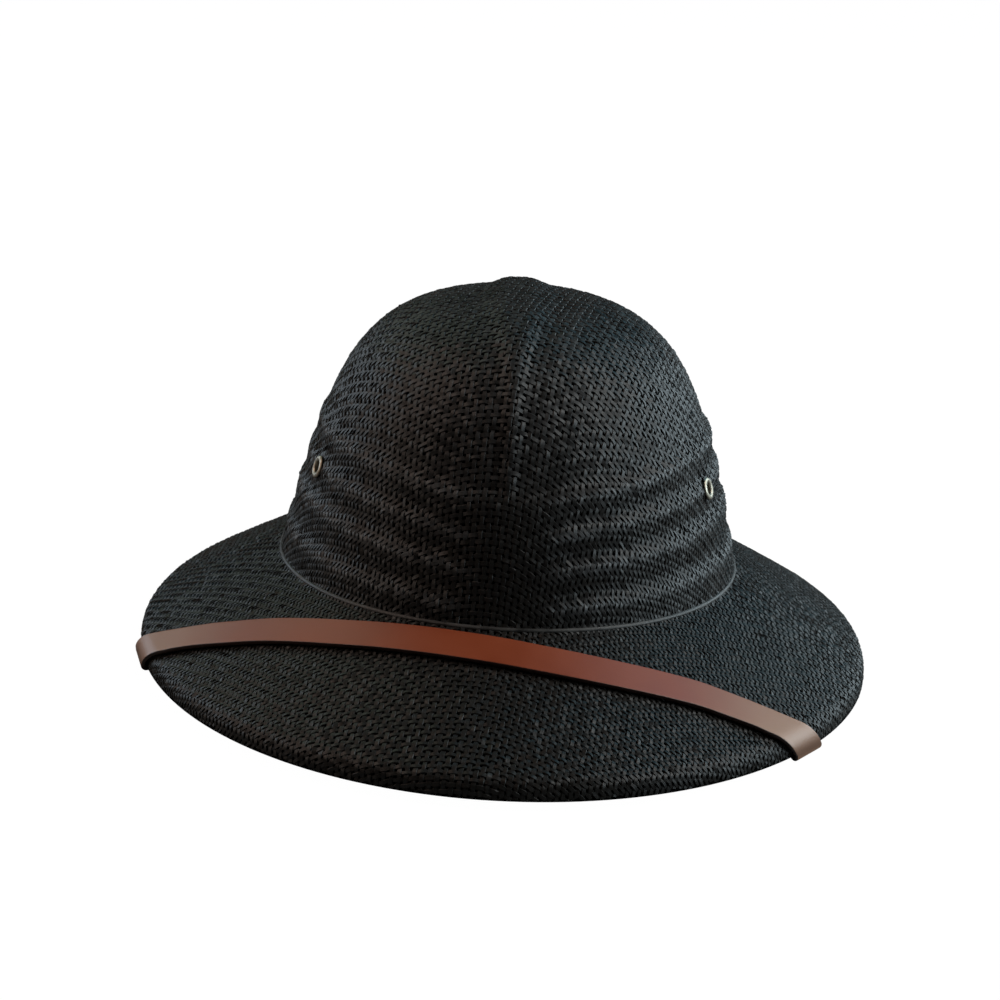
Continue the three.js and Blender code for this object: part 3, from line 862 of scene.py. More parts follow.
@dataclass(frozen=True)
class StrawFinish(Finish):
    """Dyed and lacquered straw: black strands that differ a little, with fibres along them."""

    name: str = "black_straw_strands"
    ground: Tone = (0.0025, 0.0022, 0.0018)
    patch: Tone = (0.012, 0.01, 0.008)
    # Pale tone of the painted highlight on the pleat lips and of the painted light at the crown's top.
    painted_highlight: Tone = (0.135, 0.141, 0.146)
    mottle_scale: float = 60.0
    rough_low: float = 0.38
    rough_high: float = 0.54
    gloss: float = 0.45
    fibre_scale: tuple[float, float, float] = (0.6, 14.0, 1.0)
    fibre_detail: float = 3.0
    fibre_bump: float = 0.06

    def inputs(self, graph: Graph, mottle: bpy.types.NodeSocket) -> dict:
        """Inputs of the shader: tint, mottle and a painted highlight set the colour, fibres the gloss and
        the bump.

        Args:
            graph: the material's node tree.
            mottle: value of the mottle, from 0 to 1.

        Returns:
            Values or source sockets, by the name of the input.
        """
        mean = graph.math("MULTIPLY", graph.math("ADD", graph.attribute("tint"), mottle), 0.5)
        run = graph.node("ShaderNodeUVMap").outputs["UV"]
        drawn = graph.node("ShaderNodeMapping", {"Vector": run, "Scale": self.fibre_scale}).outputs[0]
        noise = {"Vector": drawn, "Scale": 1.0, "Detail": self.fibre_detail}
        fibre = graph.node("ShaderNodeTexNoise", noise).outputs["Fac"]
        dyed = self.mottled(graph, mean)
        return {
            # Painted highlight and painted top light mixed over the dyed straw.
            "Base Color": graph.mix(graph.attribute("worn"), dyed, colour(*self.painted_highlight)),
            "Roughness": graph.spread(fibre, self.rough_low, self.rough_high),
            "Specular IOR Level": self.gloss,
            "Normal": graph.bump(fibre, self.fibre_bump),
        }


@dataclass(frozen=True)
class ShadeSheetFinish(Finish):
    """Dull black sheet that shows between the strands as painted shade, with the weave on its inner face.
    """

    name: str = "black_straw_shade_sheet"
    # Near-black outer face with almost no gloss: painted shade in the gaps between the strands.
    ground: Tone = (0.0015, 0.0015, 0.0015)
    patch: Tone = (0.003, 0.003, 0.003)
    mottle_scale: float = 90.0
    rough_low: float = 0.75
    rough_high: float = 0.95
    gloss: float = 0.03
    straw: Tone = (0.05, 0.047, 0.043)
    straw_gloss: float = 0.4
    straw_rough: float = 0.5
    weave_power: float = 0.5
    weave_bump: float = 0.3

    def inputs(self, graph: Graph, mottle: bpy.types.NodeSocket) -> dict:
        """Inputs of the shader: plain mottled painted shade, turned to straw by the weave on the inner
        face.

        Args:
            graph: the material's node tree.
            mottle: value of the mottle, from 0 to 1.

        Returns:
            Values or source sockets, by the name of the input.
        """
        weave = graph.math("MULTIPLY", self.weave(graph), graph.attribute("inner"))
        rough = graph.spread(mottle, self.rough_low, self.rough_high)
        return {
            "Base Color": graph.mix(weave, self.mottled(graph, mottle), colour(*self.straw)),
            "Roughness": graph.math("MINIMUM", rough, graph.spread(weave, 1.0, self.straw_rough)),
            "Specular IOR Level": graph.spread(weave, self.gloss, self.straw_gloss),
            "Normal": graph.bump(weave, self.weave_bump),
        }

    def weave(self, graph: Graph) -> bpy.types.NodeSocket:
        """Adds the height of the weave: a sine over each strand, across times along, filled out by a power.

        Args:
            graph: the material's node tree.

        Returns:
            Socket with the height, from 0 to 1.
        """
        run = graph.node("ShaderNodeSeparateXYZ", {0: graph.node("ShaderNodeUVMap").outputs["UV"]})
        turns = [graph.math("MULTIPLY", run.outputs[axis], math.pi) for axis in ("X", "Y")]
        waves = [graph.math("ABSOLUTE", graph.math("SINE", turn, 0.0), 0.0) for turn in turns]
        return graph.math("POWER", graph.math("MULTIPLY", *waves), self.weave_power)


@dataclass(frozen=True)
class PressedHighlightFinish(Finish):
    """Straw pressed flat and glossy along the crease, and painted pale there as a painted highlight on the
    fold.
    """

    name: str = "black_straw_pressed_highlight"
    ground: Tone = (0.012, 0.0118, 0.0114)
    # Pale patches: painted highlight along the crease.
    patch: Tone = (0.08, 0.078, 0.075)
    mottle_scale: float = 170.0
    rough_low: float = 0.4
    rough_high: float = 0.55


@dataclass(frozen=True)
class LeatherFinish(Finish):
    """Smooth brown strap leather with a pale painted sheen near its bends, dark burnished edges, painted
    shade on the bends, and a fine grain.
    """

    name: str = "brown_strap_leather"
    ground: Tone = (0.29, 0.05, 0.011)
    patch: Tone = (0.35, 0.066, 0.017)
    # Pale tone: painted sheen towards both ends of the strap.
    pale: Tone = (0.42, 0.22, 0.13)
    # Dark edge tone: the leather's dark edges, and painted shade where the band turns over the rim.
    edge: Tone = (0.035, 0.012, 0.007)
    mottle_scale: float = 35.0
    rough_low: float = 0.38
    rough_high: float = 0.46
    gloss: float = 0.85
    grain_scale: float = 1400.0
    grain_bump: float = 0.02

    def inputs(self, graph: Graph, mottle: bpy.types.NodeSocket) -> dict:
        """Inputs of the shader: mottle, a painted sheen mask and an edge mask with painted shade set the
        colour, cells give the grain.

        Args:
            graph: the material's node tree.
            mottle: value of the mottle, from 0 to 1.

        Returns:
            Values or source sockets, by the name of the input.
        """
        # Painted sheen: pale towards the strap's ends.
        face = graph.mix(graph.attribute("worn"), self.mottled(graph, mottle), colour(*self.pale))
        place = graph.node("ShaderNodeTexCoord").outputs["Object"]
        cells = graph.node("ShaderNodeTexVoronoi", {"Vector": place, "Scale": self.grain_scale})
        return {
            # Dark edges, with painted shade on the bends.
            "Base Color": graph.mix(graph.attribute("edge"), face, colour(*self.edge)),
            "Roughness": graph.spread(mottle, self.rough_low, self.rough_high),
            "Specular IOR Level": self.gloss,
            "Normal": graph.bump(cells.outputs["Distance"], self.grain_bump),
        }


@dataclass(frozen=True)
class BrassFinish(Finish):
    """Pale brass, dulled and roughened a little in patches."""

    name: str = "pale_brass"
    ground: Tone = (0.54, 0.49, 0.4)
    patch: Tone = (0.32, 0.28, 0.22)
    mottle_scale: float = 500.0
    rough_low: float = 0.36
    rough_high: float = 0.55

    def inputs(self, graph: Graph, mottle: bpy.types.NodeSocket) -> dict:
        """Inputs of the shader: those of a plain finish, and metal."""
        return {**super().inputs(graph, mottle), "Metallic": 1.0}


@dataclass(frozen=True)
class StrapEnd:
    """One end of the strap: the slant in degrees on which it goes round the rim, from an azimuth where
    the roll starts, and its places under the brim, as azimuth in degrees and share of the way out."""

    side: Side
    slant: float
    start: float
    under: tuple[tuple[float, float], ...]

    @property
    def rivet(self) -> tuple[float, float]:
        """The place under the brim that holds the rivet."""
        return self.under[1]


@dataclass(frozen=True)
class StrapCourse:
    """Where the strap lies: on top of the brim, on its roll, round under the rim and on the underside.

    A place is six numbers, a point of the strap's lower face and the way off the straw there.
    """

    brim: Brim = Brim()
    width: float = 13.5
    thick: float = 1.8
    wall: float = 2.0
    gap: float = 0.6
    stand_off: float = 0.9
    rise_power: float = 4.0
    turn_radius: float = 1.7
    read_turn: float = 0.01
    ends: tuple[StrapEnd, ...] = (
        StrapEnd(Side.LEFT, 42.0, -70.3, ((-96.0, 0.34), (-99.0, 0.27), (-101.5, 0.21))),
        StrapEnd(Side.RIGHT, 48.0, 48.6, ((72.5, 0.32), (75.0, 0.25), (77.5, 0.18))),
    )

    def top(self, azimuth: Array, out: Array) -> Array:
        """Places on top of the brim, which stand off the straw the more the further out they are.

        Args:
            azimuth: angle from the front, in radians.
            out: share of the way from the crease to the roll.

        Returns:
            Places, by the last axis.
        """
        stand_off = lerp(self.gap, self.stand_off, out**self.rise_power)
        points = self.brim.point(azimuth, out, -stand_off)
        return np.concatenate([points, self.brim.normal(azimuth, out)], axis=-1)

    def roll(self, azimuth: Array, angle: Array) -> Array:
        """Places on the roll, at an angle from straight up."""
        points = self.brim.roll_point(azimuth, angle, -self.stand_off)
        return np.concatenate([points, self.brim.leaning(azimuth, 1.0, angle)], axis=-1)

    def turn(self, azimuth: Array, angle: Array) -> Array:
        """Places round under the rim: on a circle about the middle of the rim's foot.

        Args:
            azimuth: angle from the front, in radians.
            angle: angle from straight up, in radians.

        Returns:
            Places, by the last axis.
        """
        middle = self.brim.roll_point(azimuth, math.pi / 2, self.wall / 2)
        middle[..., 2] = self.wall / 2
        off = self.brim.leaning(azimuth, 1.0, angle)
        return np.concatenate([middle + off * self.turn_radius, off], axis=-1)

    def under(self, azimuth: Array, out: Array) -> Array:
        """Places on the brim's underside, a share of the way out."""
        points = self.brim.point(azimuth, out, self.wall + self.gap)
        return np.concatenate([points, -self.brim.normal(azimuth, out)], axis=-1)

    def roll_way(self, share: Array) -> Array:
        """Way along the strap from the start of the roll to a share of it."""
        return share * (self.brim.roll_radius + self.stand_off) * (math.pi / 2 - self.brim.roll_lean)

    def turn_way(self, angle: Array) -> Array:
        """Way along the strap from the start of the roll to an angle under the rim."""
        drop = self.brim.roll_height - self.wall / 2
        return self.roll_way(1.0) + drop + self.turn_radius * (angle - math.pi / 2)

    def azimuth(self, end: StrapEnd, way: Array) -> Array:
        """Azimuth that one end's middle line has reached after a way past the start of the roll.

        Args:
            end: which end.
            way: way in millimetres.

        Returns:
            Azimuth in radians.
        """
        start = math.radians(end.start)
        speed = math.hypot(self.brim.half_width * math.cos(start), self.brim.half_length * math.sin(start))
        return start + end.side.value * way / math.tan(math.radians(end.slant)) / speed

    def slanted(self, place: Callable[[Array], Array], azimuth: Array, end: StrapEnd) -> Array:
        """Edges of sections along the rim: places to each side, as far apart as the slant makes them.

        Args:
            place: gives the places for azimuths.
            azimuth: azimuths of the middle line.
            end: which end they belong to.

        Returns:
            Places by section and edge.
        """
        step = place(azimuth + self.read_turn)[..., :3] - place(azimuth)[..., :3]
        speed = np.linalg.norm(step, axis=-1) / self.read_turn
        half = end.side.value * self.width / (2.0 * math.sin(math.radians(end.slant)) * speed)
        return np.stack([place(azimuth - half), place(azimuth + half)], axis=-2)

    def lowest(self, end: StrapEnd) -> Array:
        """Lowest point at the back edge of one turn under the rim.

        Args:
            end: which end of the strap.

        Returns:
            The point on the strap's outer face.
        """
        angle = np.array(math.pi)
        azimuth = self.azimuth(end, self.turn_way(angle))
        edge = self.slanted(lambda a: self.turn(a, angle), azimuth, end)[1]
        return edge[:3] + edge[3:] * self.thick

    def standing(self) -> Matrix:
        """Turn and rise that set the helmet down on both turns and on the rim furthest behind them.

        Returns:
            Matrix in metres.
        """
        left, right = (self.lowest(end) for end in self.ends)
        along = right - left
        sizes = np.array([self.brim.half_width, self.brim.half_length, 0.0])
        back = sizes * unit(sizes * np.array([-along[1], along[0], 0.0]))
        upright = unit(np.cross(along, back - left))
        turn = Vector(upright).rotation_difference(Vector(UP)).to_matrix().to_4x4()
        rise = -(turn @ Vector(left * MM)).z
        return Matrix.Translation(Vector(UP * rise)) @ turn


@cache
def set_down() -> Matrix:
    """Turn and rise that set the whole helmet down."""
    return StrapCourse().standing()


def dress(piece: bpy.types.Object, material: bpy.types.Material, slot: Slot, node: str) -> bpy.types.Object:
    """Sets a piece down with the helmet, gives it its material, parents it to the body and hides the CAD
    node it stands for.

    Args:
        piece: the finished mesh object.
        material: its material.
        slot: the record's material slot; not used.
        node: the CAD node that it replaces.

    Returns:
        The same object.
    """
    piece.data.transform(set_down())
    piece.data.materials.append(material)
    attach(piece, BODY)
    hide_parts(node)
    LOG.info("%s: %d vertices, %d faces", piece.name, len(piece.data.vertices), len(piece.data.polygons))
    return piece


@dataclass
class Eyelet:
    """Rolled brass vent eyelet through the crown wall."""

    crown: Crown
    side: Side
    azimuth: float = 67.6
    height: float = 40.0
    wall: float = 2.0
    bore: float = 2.25
    barrel: float = 2.8
    flange: float = 4.45
    thick: float = 0.65
    seat: float = -0.15
    back_seat: float = 1.1
    sides: int = 64
    steps: int = 24
    turn_step: float = 0.01
    centre: Array = field(init=False)
    axis: Array = field(init=False)

    def __post_init__(self) -> None:
        """Finds the wall's point and the way out of it from its run and its slope."""
        azimuth = self.side.value * math.radians(self.azimuth)
        angles = np.array([azimuth, azimuth + self.turn_step, azimuth, azimuth])
        heights = self.height + self.flange * np.array([0.0, 0.0, 1.0, -1.0])
        centre, beside, above, below = self.crown.point(angles, self.crown.shape_of(heights), heights)
        self.centre = centre
        self.axis = unit(np.cross(below - above, beside - centre))

    def profile(self) -> Array:
        """Closed loop of radius and height: up the bore, over a rolled flange, back down the barrel.

        Each flange is half an ellipse between the bore and the flange's edge.

        Returns:
            Profile points, one a row.
        """
        middle = (self.bore + self.flange) / 2
        half = (self.flange - self.bore) / 2
        turn = np.linspace(math.pi, 0.0, self.steps)
        over = np.stack(
            [middle + half * np.cos(turn), self.seat + (self.thick - self.seat) * np.sin(turn)], axis=1
        )
        back = -self.wall - self.back_seat
        under = np.stack([over[:, 0], back - over[:, 1]], axis=1)[::-1]
        barrel = np.array([[self.barrel, self.seat], [self.barrel, back - self.seat]])
        return np.concatenate([over, barrel, under])

    def build(self, material: bpy.types.Material) -> bpy.types.Object:
        """Makes the eyelet and dresses it.

        Args:
            material: brass material.

        Returns:
            The eyelet.
        """
        name = f"eyelet_{self.side.name.lower()}"
        made = turned_piece(f"{name}_ring", self.profile(), self.centre, self.axis, self.sides, closed=True)
        return dress(made, material, Slot.EYELET, name)


@dataclass
class StrapRivet:
    """Plain rivet that holds a hidden end of the strap against the brim's underside."""

    course: StrapCourse
    end: StrapEnd
    shank: float = 1.4
    shank_from: float = 0.35
    head: float = 3.6
    head_seat: float = 2.5
    head_edge: float = 3.0
    head_top: float = 4.15
    sides: int = 48
    steps: int = 10

    def profile(self) -> Array:
        """Line of radius and height from the head's middle over a dome, down its edge to the shank's end.

        Returns:
            Profile points, one a row.
        """
        turn = np.linspace(0.0, math.pi / 2, self.steps)
        dome = np.stack(
            [self.head * np.sin(turn), lerp(self.head_edge, self.head_top, np.cos(turn))], axis=1
        )
        rest = [
            [self.head, self.head_seat],
            [self.shank, self.head_seat],
            [self.shank, self.shank_from],
            [0.0, self.shank_from],
        ]
        return np.concatenate([dome, rest])

    def build(self, material: bpy.types.Material) -> bpy.types.Object:
        """Makes the rivet, square to the brim's underside, and dresses it.

        Args:
            material: brass material.

        Returns:
            The rivet.
        """
        degrees, out = self.end.rivet
        azimuth, share = np.array(math.radians(degrees)), np.array(out)
        centre = self.course.brim.point(azimuth, share, self.course.wall)
        axis = -self.course.brim.normal(azimuth, share)
        name = f"strap_rivet_{self.end.side.name.lower()}"
        made = turned_piece(f"{name}_pin", self.profile(), centre, axis, self.sides, closed=False)
        return dress(made, material, Slot.RIVET, name)


@dataclass
class ChinStrap:
    """Flat leather band over the front of the brim, turned round the rim at each end.

    The run is a knot a row: azimuth in degrees, and share of the way from the crease to the roll.
    """

    course: StrapCourse
    run: tuple[tuple[float, float], ...] = (
        (-70.3, 1.0),
        (-68.2, 0.905),
        (-63.7, 0.738),
        (-57.9, 0.58),
        (-51.8, 0.448),
        (-44.2, 0.336),
        (-35.4, 0.25),
        (-26.7, 0.192),
        (-17.8, 0.164),
        (-9.0, 0.163),
        (-0.5, 0.184),
        (7.6, 0.228),
        (15.5, 0.29),
        (23.0, 0.37),
        (30.2, 0.47),
        (36.8, 0.595),
        (41.0, 0.713),
        (45.2, 0.855),
        (48.6, 1.0),
    )
    run_steps: int = 6
    roll_steps: int = 12
    turn_steps: int = 12
    turn_from: float = math.radians(92.0)
    turn_to: float = math.radians(211.0)
    slant_from: float = 0.78
    lower_face: float = -0.15
    upper_face: float = 1.55
    section_points: int = 40
    section_power: float = 0.13
    edge_from: float = 0.95
    # Painted shade where the band faces sideways over the rim, up to the depth below.
    bend_up: float = 0.55
    bend_shade_depth: float = 0.55
    # Reach of the painted sheen inwards from each bend.
    sheen_over: float = 55.0

    def top_sections(self) -> tuple[Array, Array, Array]:
        """Sections over the brim, from the left roll to the right one.

        Returns:
            Middle places, edges that lie along the rim, and how far each section is turned to those.
        """
        run = smooth_path(np.array(self.run), self.run_steps)
        parts = []
        for end in self.course.ends:
            half = run[(run[:, 0] < 0.0) == (end.side is Side.LEFT)]
            azimuth, out = np.radians(half[:, 0]), half[:, 1]
            edges = self.course.slanted(lambda a, o=out: self.course.top(a, o), azimuth, end)
            turned = smooth((out - self.slant_from) / (1.0 - self.slant_from))
            parts.append((self.course.top(azimuth, out), edges, turned))
        return tuple(np.concatenate(both) for both in zip(*parts))

    def end_sections(self, end: StrapEnd) -> tuple[Array, Array, Array]:
        """Sections of one end, from the roll round under the rim to the hidden end.

        Args:
            end: which end.

        Returns:
            The same three arrays as for the top.
        """
        share = np.arange(1, self.roll_steps + 1) / self.roll_steps
        turn = np.linspace(self.turn_from, self.turn_to, self.turn_steps)
        angles = (self.course.brim.roll_angle(share), turn)
        ways = (self.course.roll_way(share), self.course.turn_way(turn))
        places = (self.course.roll, self.course.turn)
        middles, edges = [], []
        for angle, way, place in zip(angles, ways, places):
            azimuth = self.course.azimuth(end, way)
            middles.append(place(azimuth, angle))
            edges.append(self.course.slanted(lambda a, t=angle, p=place: p(a, t), azimuth, end))
        degrees, out = np.array(end.under).T
        hidden = self.course.under(np.radians(degrees), out)
        turned = np.repeat([1.0, 0.0], [self.roll_steps + self.turn_steps, len(out)])
        edges.append(np.repeat(hidden[:, None], 2, axis=1))
        return np.concatenate([*middles, hidden]), np.concatenate(edges), turned

    def sections(self) -> Array:
        """Both edges of every section from the left end to the right end, square or along the rim.

        Returns:
            Places by section and edge.
        """
        left, right = (self.end_sections(end) for end in self.course.ends)
        groups = ([part[::-1] for part in left], self.top_sections(), right)
        middle, edges, turned = (np.concatenate(parts) for parts in zip(*groups))
        points, off = middle[:, :3], middle[:, 3:]
        side = unit(np.cross(off, np.gradient(points, axis=0))) * self.course.width / 2
        square = np.stack([np.hstack([points - side, off]), np.hstack([points + side, off])], axis=1)
        return lerp(square, edges, turned[:, None, None])

    def outline(self) -> Array:
        """Outline of a section, a squared ellipse of its width and thickness: across and off the straw.

        Returns:
            Shares of the way across, and heights above the lower face, one a row.
        """
        turn = np.linspace(0.0, 2 * math.pi, self.section_points, endpoint=False)
        squared = [np.sign(w) * np.abs(w) ** self.section_power for w in (np.cos(turn), np.sin(turn))]
        height = lerp(self.lower_face, self.upper_face, 0.5 + squared[1] / 2)
        return np.stack([0.5 + squared[0] / 2, height], axis=1)

    def painted_shade_and_sheen(self, middles: Array, up: Array) -> tuple[Array, Array]:
        """Where the band is painted: painted shade on its bends where the face looks sideways, and a pale
        painted sheen from each bend inwards.

        Args:
            middles: middle of every section.
            up: how far the upper face looks up at every section.

        Returns:
            Shares of painted shade and of painted sheen by section.
        """
        steps = np.linalg.norm(np.diff(middles, axis=0), axis=1)
        way = np.concatenate([[0.0], np.cumsum(steps)])
        top = way[up > self.bend_up]
        off = np.minimum(np.abs(way - top[0]), np.abs(way - top[-1]))
        # Painted shade: darker where the upper face looks sideways.
        bend_shade = self.bend_shade_depth * (1.0 - smooth(np.abs(up) / self.bend_up))
        return bend_shade, 1.0 - smooth(off / self.sheen_over)

    def build(self, material: bpy.types.Material) -> bpy.types.Object:
        """Carries the outline along the sections, closes both ends, and dresses the band.

        Args:
            material: leather material.

        Returns:
            The strap.
        """
        sections = self.sections()
        outline = self.outline()
        near, far = sections[:, :1], sections[:, 1:]
        places = lerp(near, far, outline[None, :, :1])
        rings = places[..., :3] + unit(places[..., 3:]) * outline[None, :, 1:]
        count = self.section_points
        ring_quads = grid_faces(len(sections), count)[:, [0, 3, 2, 1]]
        first = np.arange(count)[None, ::-1]
        last = (len(sections) - 1) * count + np.arange(count)[None, :]
        made = mesh_piece("chin_strap_band", rings.reshape(-1, 3), [ring_quads, first, last])
        aside = np.abs(2.0 * outline[:, 0] - 1.0)
        edge = smooth((aside - self.edge_from) / (1.0 - self.edge_from))
        # Painted shade on the bends, and painted sheen near the ends.
        bend_shade, worn = self.painted_shade_and_sheen(rings.mean(axis=1), unit(places[..., 3:].mean(axis=1))[:, 2])
        # Dark edges, and painted shade where the band faces sideways over the rim.
        add_values(made, "edge", np.maximum(edge, bend_shade[:, None]))
        add_values(made, "worn", np.repeat(worn, count))
        length = np.linalg.norm(np.diff(rings.mean(axis=1), axis=0), axis=1).sum()
        LOG.info("chin strap is %.0f mm long", length)
        return dress(made, material, Slot.LEATHER, "chin_strap")


@dataclass
class StrawShell:
    """Crown and brim of woven strands over a thin dark sheet, whose outer face is painted shade between
    them.
    """

    surface: ShellSurface
    cloth: StrawCloth
    vents: Sequence[Eyelet]
    node: str = "straw_shell"
    wave: float = 0.21
    strand_depth: float = 0.55
    strand_half_thick: float = 0.15
    strand_half_width: float = 0.85
    strand_share: float = 0.335
    strand_shoulder: float = 0.8
    strand_bend: float = math.radians(45.0)
    flat_share: float = 0.27
    vent_radius: float = 3.4
    vent_reach: float = 8.0
    lowest: float = 0.08
    sheet_depth: float = 1.7
    sheet_half_thick: float = 0.15
    sheet_row_step: int = 3
    sheet_column_step: int = 4
    foot_rows_kept: int = 10
    bead_depth: float = 1.0
    bead_half_thick: float = 0.85
    bead_height: float = 2.2
    crease_half_width: float = 0.8
    crease_half_thick: float = 0.4
    crease_sunk: float = 0.15
    crease_sides: int = 10
    seed: int = 7
    tint_spread: float = 0.24
    float_spread: float = 0.2
    width_spread: float = 0.08
    stray: float = 0.1
    roll_spread: float = math.radians(9.0)

    def near_vent(self, points: Array) -> Array:
        """Whether points lie inside a vent hole: a cylinder about the vent's axis.

        Args:
            points: places, by the last axis.

        Returns:
            True where a point is inside.
        """
        inside = np.zeros(points.shape[:-1], dtype=bool)
        for vent in self.vents:
            offset = points - vent.centre
            depth = offset @ vent.axis
            aside = np.linalg.norm(offset - depth[..., None] * vent.axis, axis=-1)
            inside |= (aside < self.vent_radius) & (np.abs(depth) < self.vent_reach)
        return inside

    def draws(self, family: Family) -> np.random.Generator:
        """Random draws of a family, the same at every call."""
        return np.random.default_rng(self.seed + list(Family).index(family))

    def stations(self, family: Family) -> tuple[Array, Array, Array]:
        """Two stations a crossing on every strand of a family, where it lies flat over or under.

        Args:
            family: which strands.

        Returns:
            Points and normals by strand and station, and +1 or -1 where the strand is over or under.
        """
        across = family is Family.ACROSS
        shifts = [(f, 0.0) if across else (0.0, f) for f in (-self.flat_share, self.flat_share)]
        found = [self.cloth.locate(self.surface, shift) for shift in shifts]
        grids = [np.stack([pair[k] for pair in found], axis=2) for k in range(2)]
        numbers = np.arange(grids[0].shape[0])
        over = np.where((numbers[:, None] + numbers[None, :]) % 2 == 0, 1.0, -1.0)
        if across:
            grids = [grid.swapaxes(0, 1) for grid in grids]
        else:
            over = -over
        flat = [grid.reshape(len(numbers), -1, 3) for grid in grids]
        return flat[0], flat[1], np.repeat(over, 2, axis=1)

    def strand_rings(self, family: Family) -> tuple[Array, Array]:
        """Rings of four points round every station: right foot, right shoulder, left shoulder, left foot.

        A strand's middle line waves about its depth below the outer face. It has its own width, unless
        its neighbours leave it less room, and is narrower on top than below. Each float differs a little
        from the rest in width, place and roll.

        Args:
            family: which strands.

        Returns:
            Rings by strand and station, and whether each station is there.
        """
        points, normals, over = self.stations(family)
        points = np.where(self.near_vent(points)[..., None], np.nan, points)
        there = np.isfinite(points[..., 0])
        beside = np.zeros_like(there)
        beside[:, 1:] |= there[:, :-1]
        beside[:, :-1] |= there[:, 1:]
        there &= beside
        along = unit(np.where(there[..., None], mean_step(points, axis=1), UP))
        side = np.cross(normals, along)
        pitch = self.cloth.pitch[1 if family is Family.ACROSS else 0]
        room = np.linalg.norm(np.cross(mean_step(points, axis=0), along), axis=-1)
        half_width = self.strand_share * np.where(room > 0.0, room, pitch)[..., None]
        draw = self.draws(family)
        floats = (len(there), there.shape[1] // 2, 1)
        own = np.repeat(draw.normal(1.0, self.width_spread, floats), 2, axis=1)
        aside = np.repeat(draw.normal(0.0, self.stray, floats), 2, axis=1)
        roll = np.repeat(draw.normal(0.0, self.roll_spread, floats), 2, axis=1)
        middle = points + normals * (over[..., None] * self.wave - self.strand_depth) + side * aside
        across = side * np.cos(roll) + normals * np.sin(roll)
        foot = across * np.minimum(half_width, self.strand_half_width) * own
        shoulder = foot * self.strand_shoulder
        thick = np.cross(along, across) * self.strand_half_thick
        corners = [foot - thick, shoulder + thick, thick - shoulder, -thick - foot]
        rings = middle[:, :, None] + np.stack(corners, axis=2)
        rings[..., 2] = np.maximum(rings[..., 2], self.lowest)
        return rings, there

    def strand_piece(
        self, name: str, rings: Array, there: Array, tint: Array, worn: Array
    ) -> bpy.types.Object:
        """Joins rings into closed strands: quads between neighbours, a cap at every end.

        Args:
            name: name of the piece.
            rings: four points by strand and station.
            there: whether each station is there.
            tint: colour share of each station.
            worn: how far each station is painted pale, a painted highlight.

        Returns:
            The object.
        """
        count = rings.shape[2]
        corner = np.arange(count)
        number = count * (np.cumsum(there.ravel()).reshape(there.shape) - 1)
        joined = there[:, :-1] & there[:, 1:]
        here, ahead = number[:, :-1][joined], number[:, 1:][joined]
        pairs = zip(corner, np.roll(corner, -1))
        quads = [np.stack([here + k, here + n, ahead + n, ahead + k], axis=1) for k, n in pairs]
        starts, ends = there.copy(), there.copy()
        starts[:, 1:] &= ~there[:, :-1]
        ends[:, :-1] &= ~there[:, 1:]
        caps = [number[starts][:, None] + corner[::-1], number[ends][:, None] + corner]
        run = np.broadcast_to(np.arange(there.shape[1]) / 2.0, there.shape)[there]
        strand = np.broadcast_to(np.arange(there.shape[0])[:, None], there.shape)[there]
        around = strand[:, None] + corner / count
        uv = np.stack([np.repeat(run, count), around.ravel()], axis=1)
        made = mesh_piece(name, rings[there].reshape(-1, 3), [*quads, *caps], uv)
        made.data.set_sharp_from_angle(angle=self.strand_bend)
        add_values(made, "tint", np.repeat(tint[there], count))
        # Share of painted highlight at each vertex.
        add_values(made, "worn", np.repeat(worn[there], count))
        return made

    def strands(self, family: Family, material: bpy.types.Material) -> list[bpy.types.Object]:
        """Makes all strands of a family, split in two pieces between strands.

        Args:
            family: which strands.
            material: straw material.

        Returns:
            The two pieces.
        """
        rings, there = self.strand_rings(family)
        draw = self.draws(family)
        own = draw.normal(0.5, self.tint_spread, (len(there), 1))
        floats = draw.normal(0.0, self.float_spread, (len(there), there.shape[1] // 2))
        tint = np.clip(own + np.repeat(floats, 2, axis=1), 0.0, 1.0)
        # Painted highlight on the pleat lips and painted light at the top, scaled by each float's tint.
        worn = self.surface.crown.painted_highlight(rings.mean(axis=2)) * tint
        total = np.cumsum(there.sum(axis=1))
        half = int(np.searchsorted(total, total[-1] / 2))
        ends = ("front", "back") if family is Family.ACROSS else ("left", "right")
        made = []
        for end, part in zip(ends, (slice(None, half), slice(half, None))):
            name = f"straw_strands_{family.value}_{end}"
            piece = self.strand_piece(name, rings[part], there[part], tint[part], worn[part])
            made.append(dress(piece, material, Slot.STRAW, self.node))
        return made

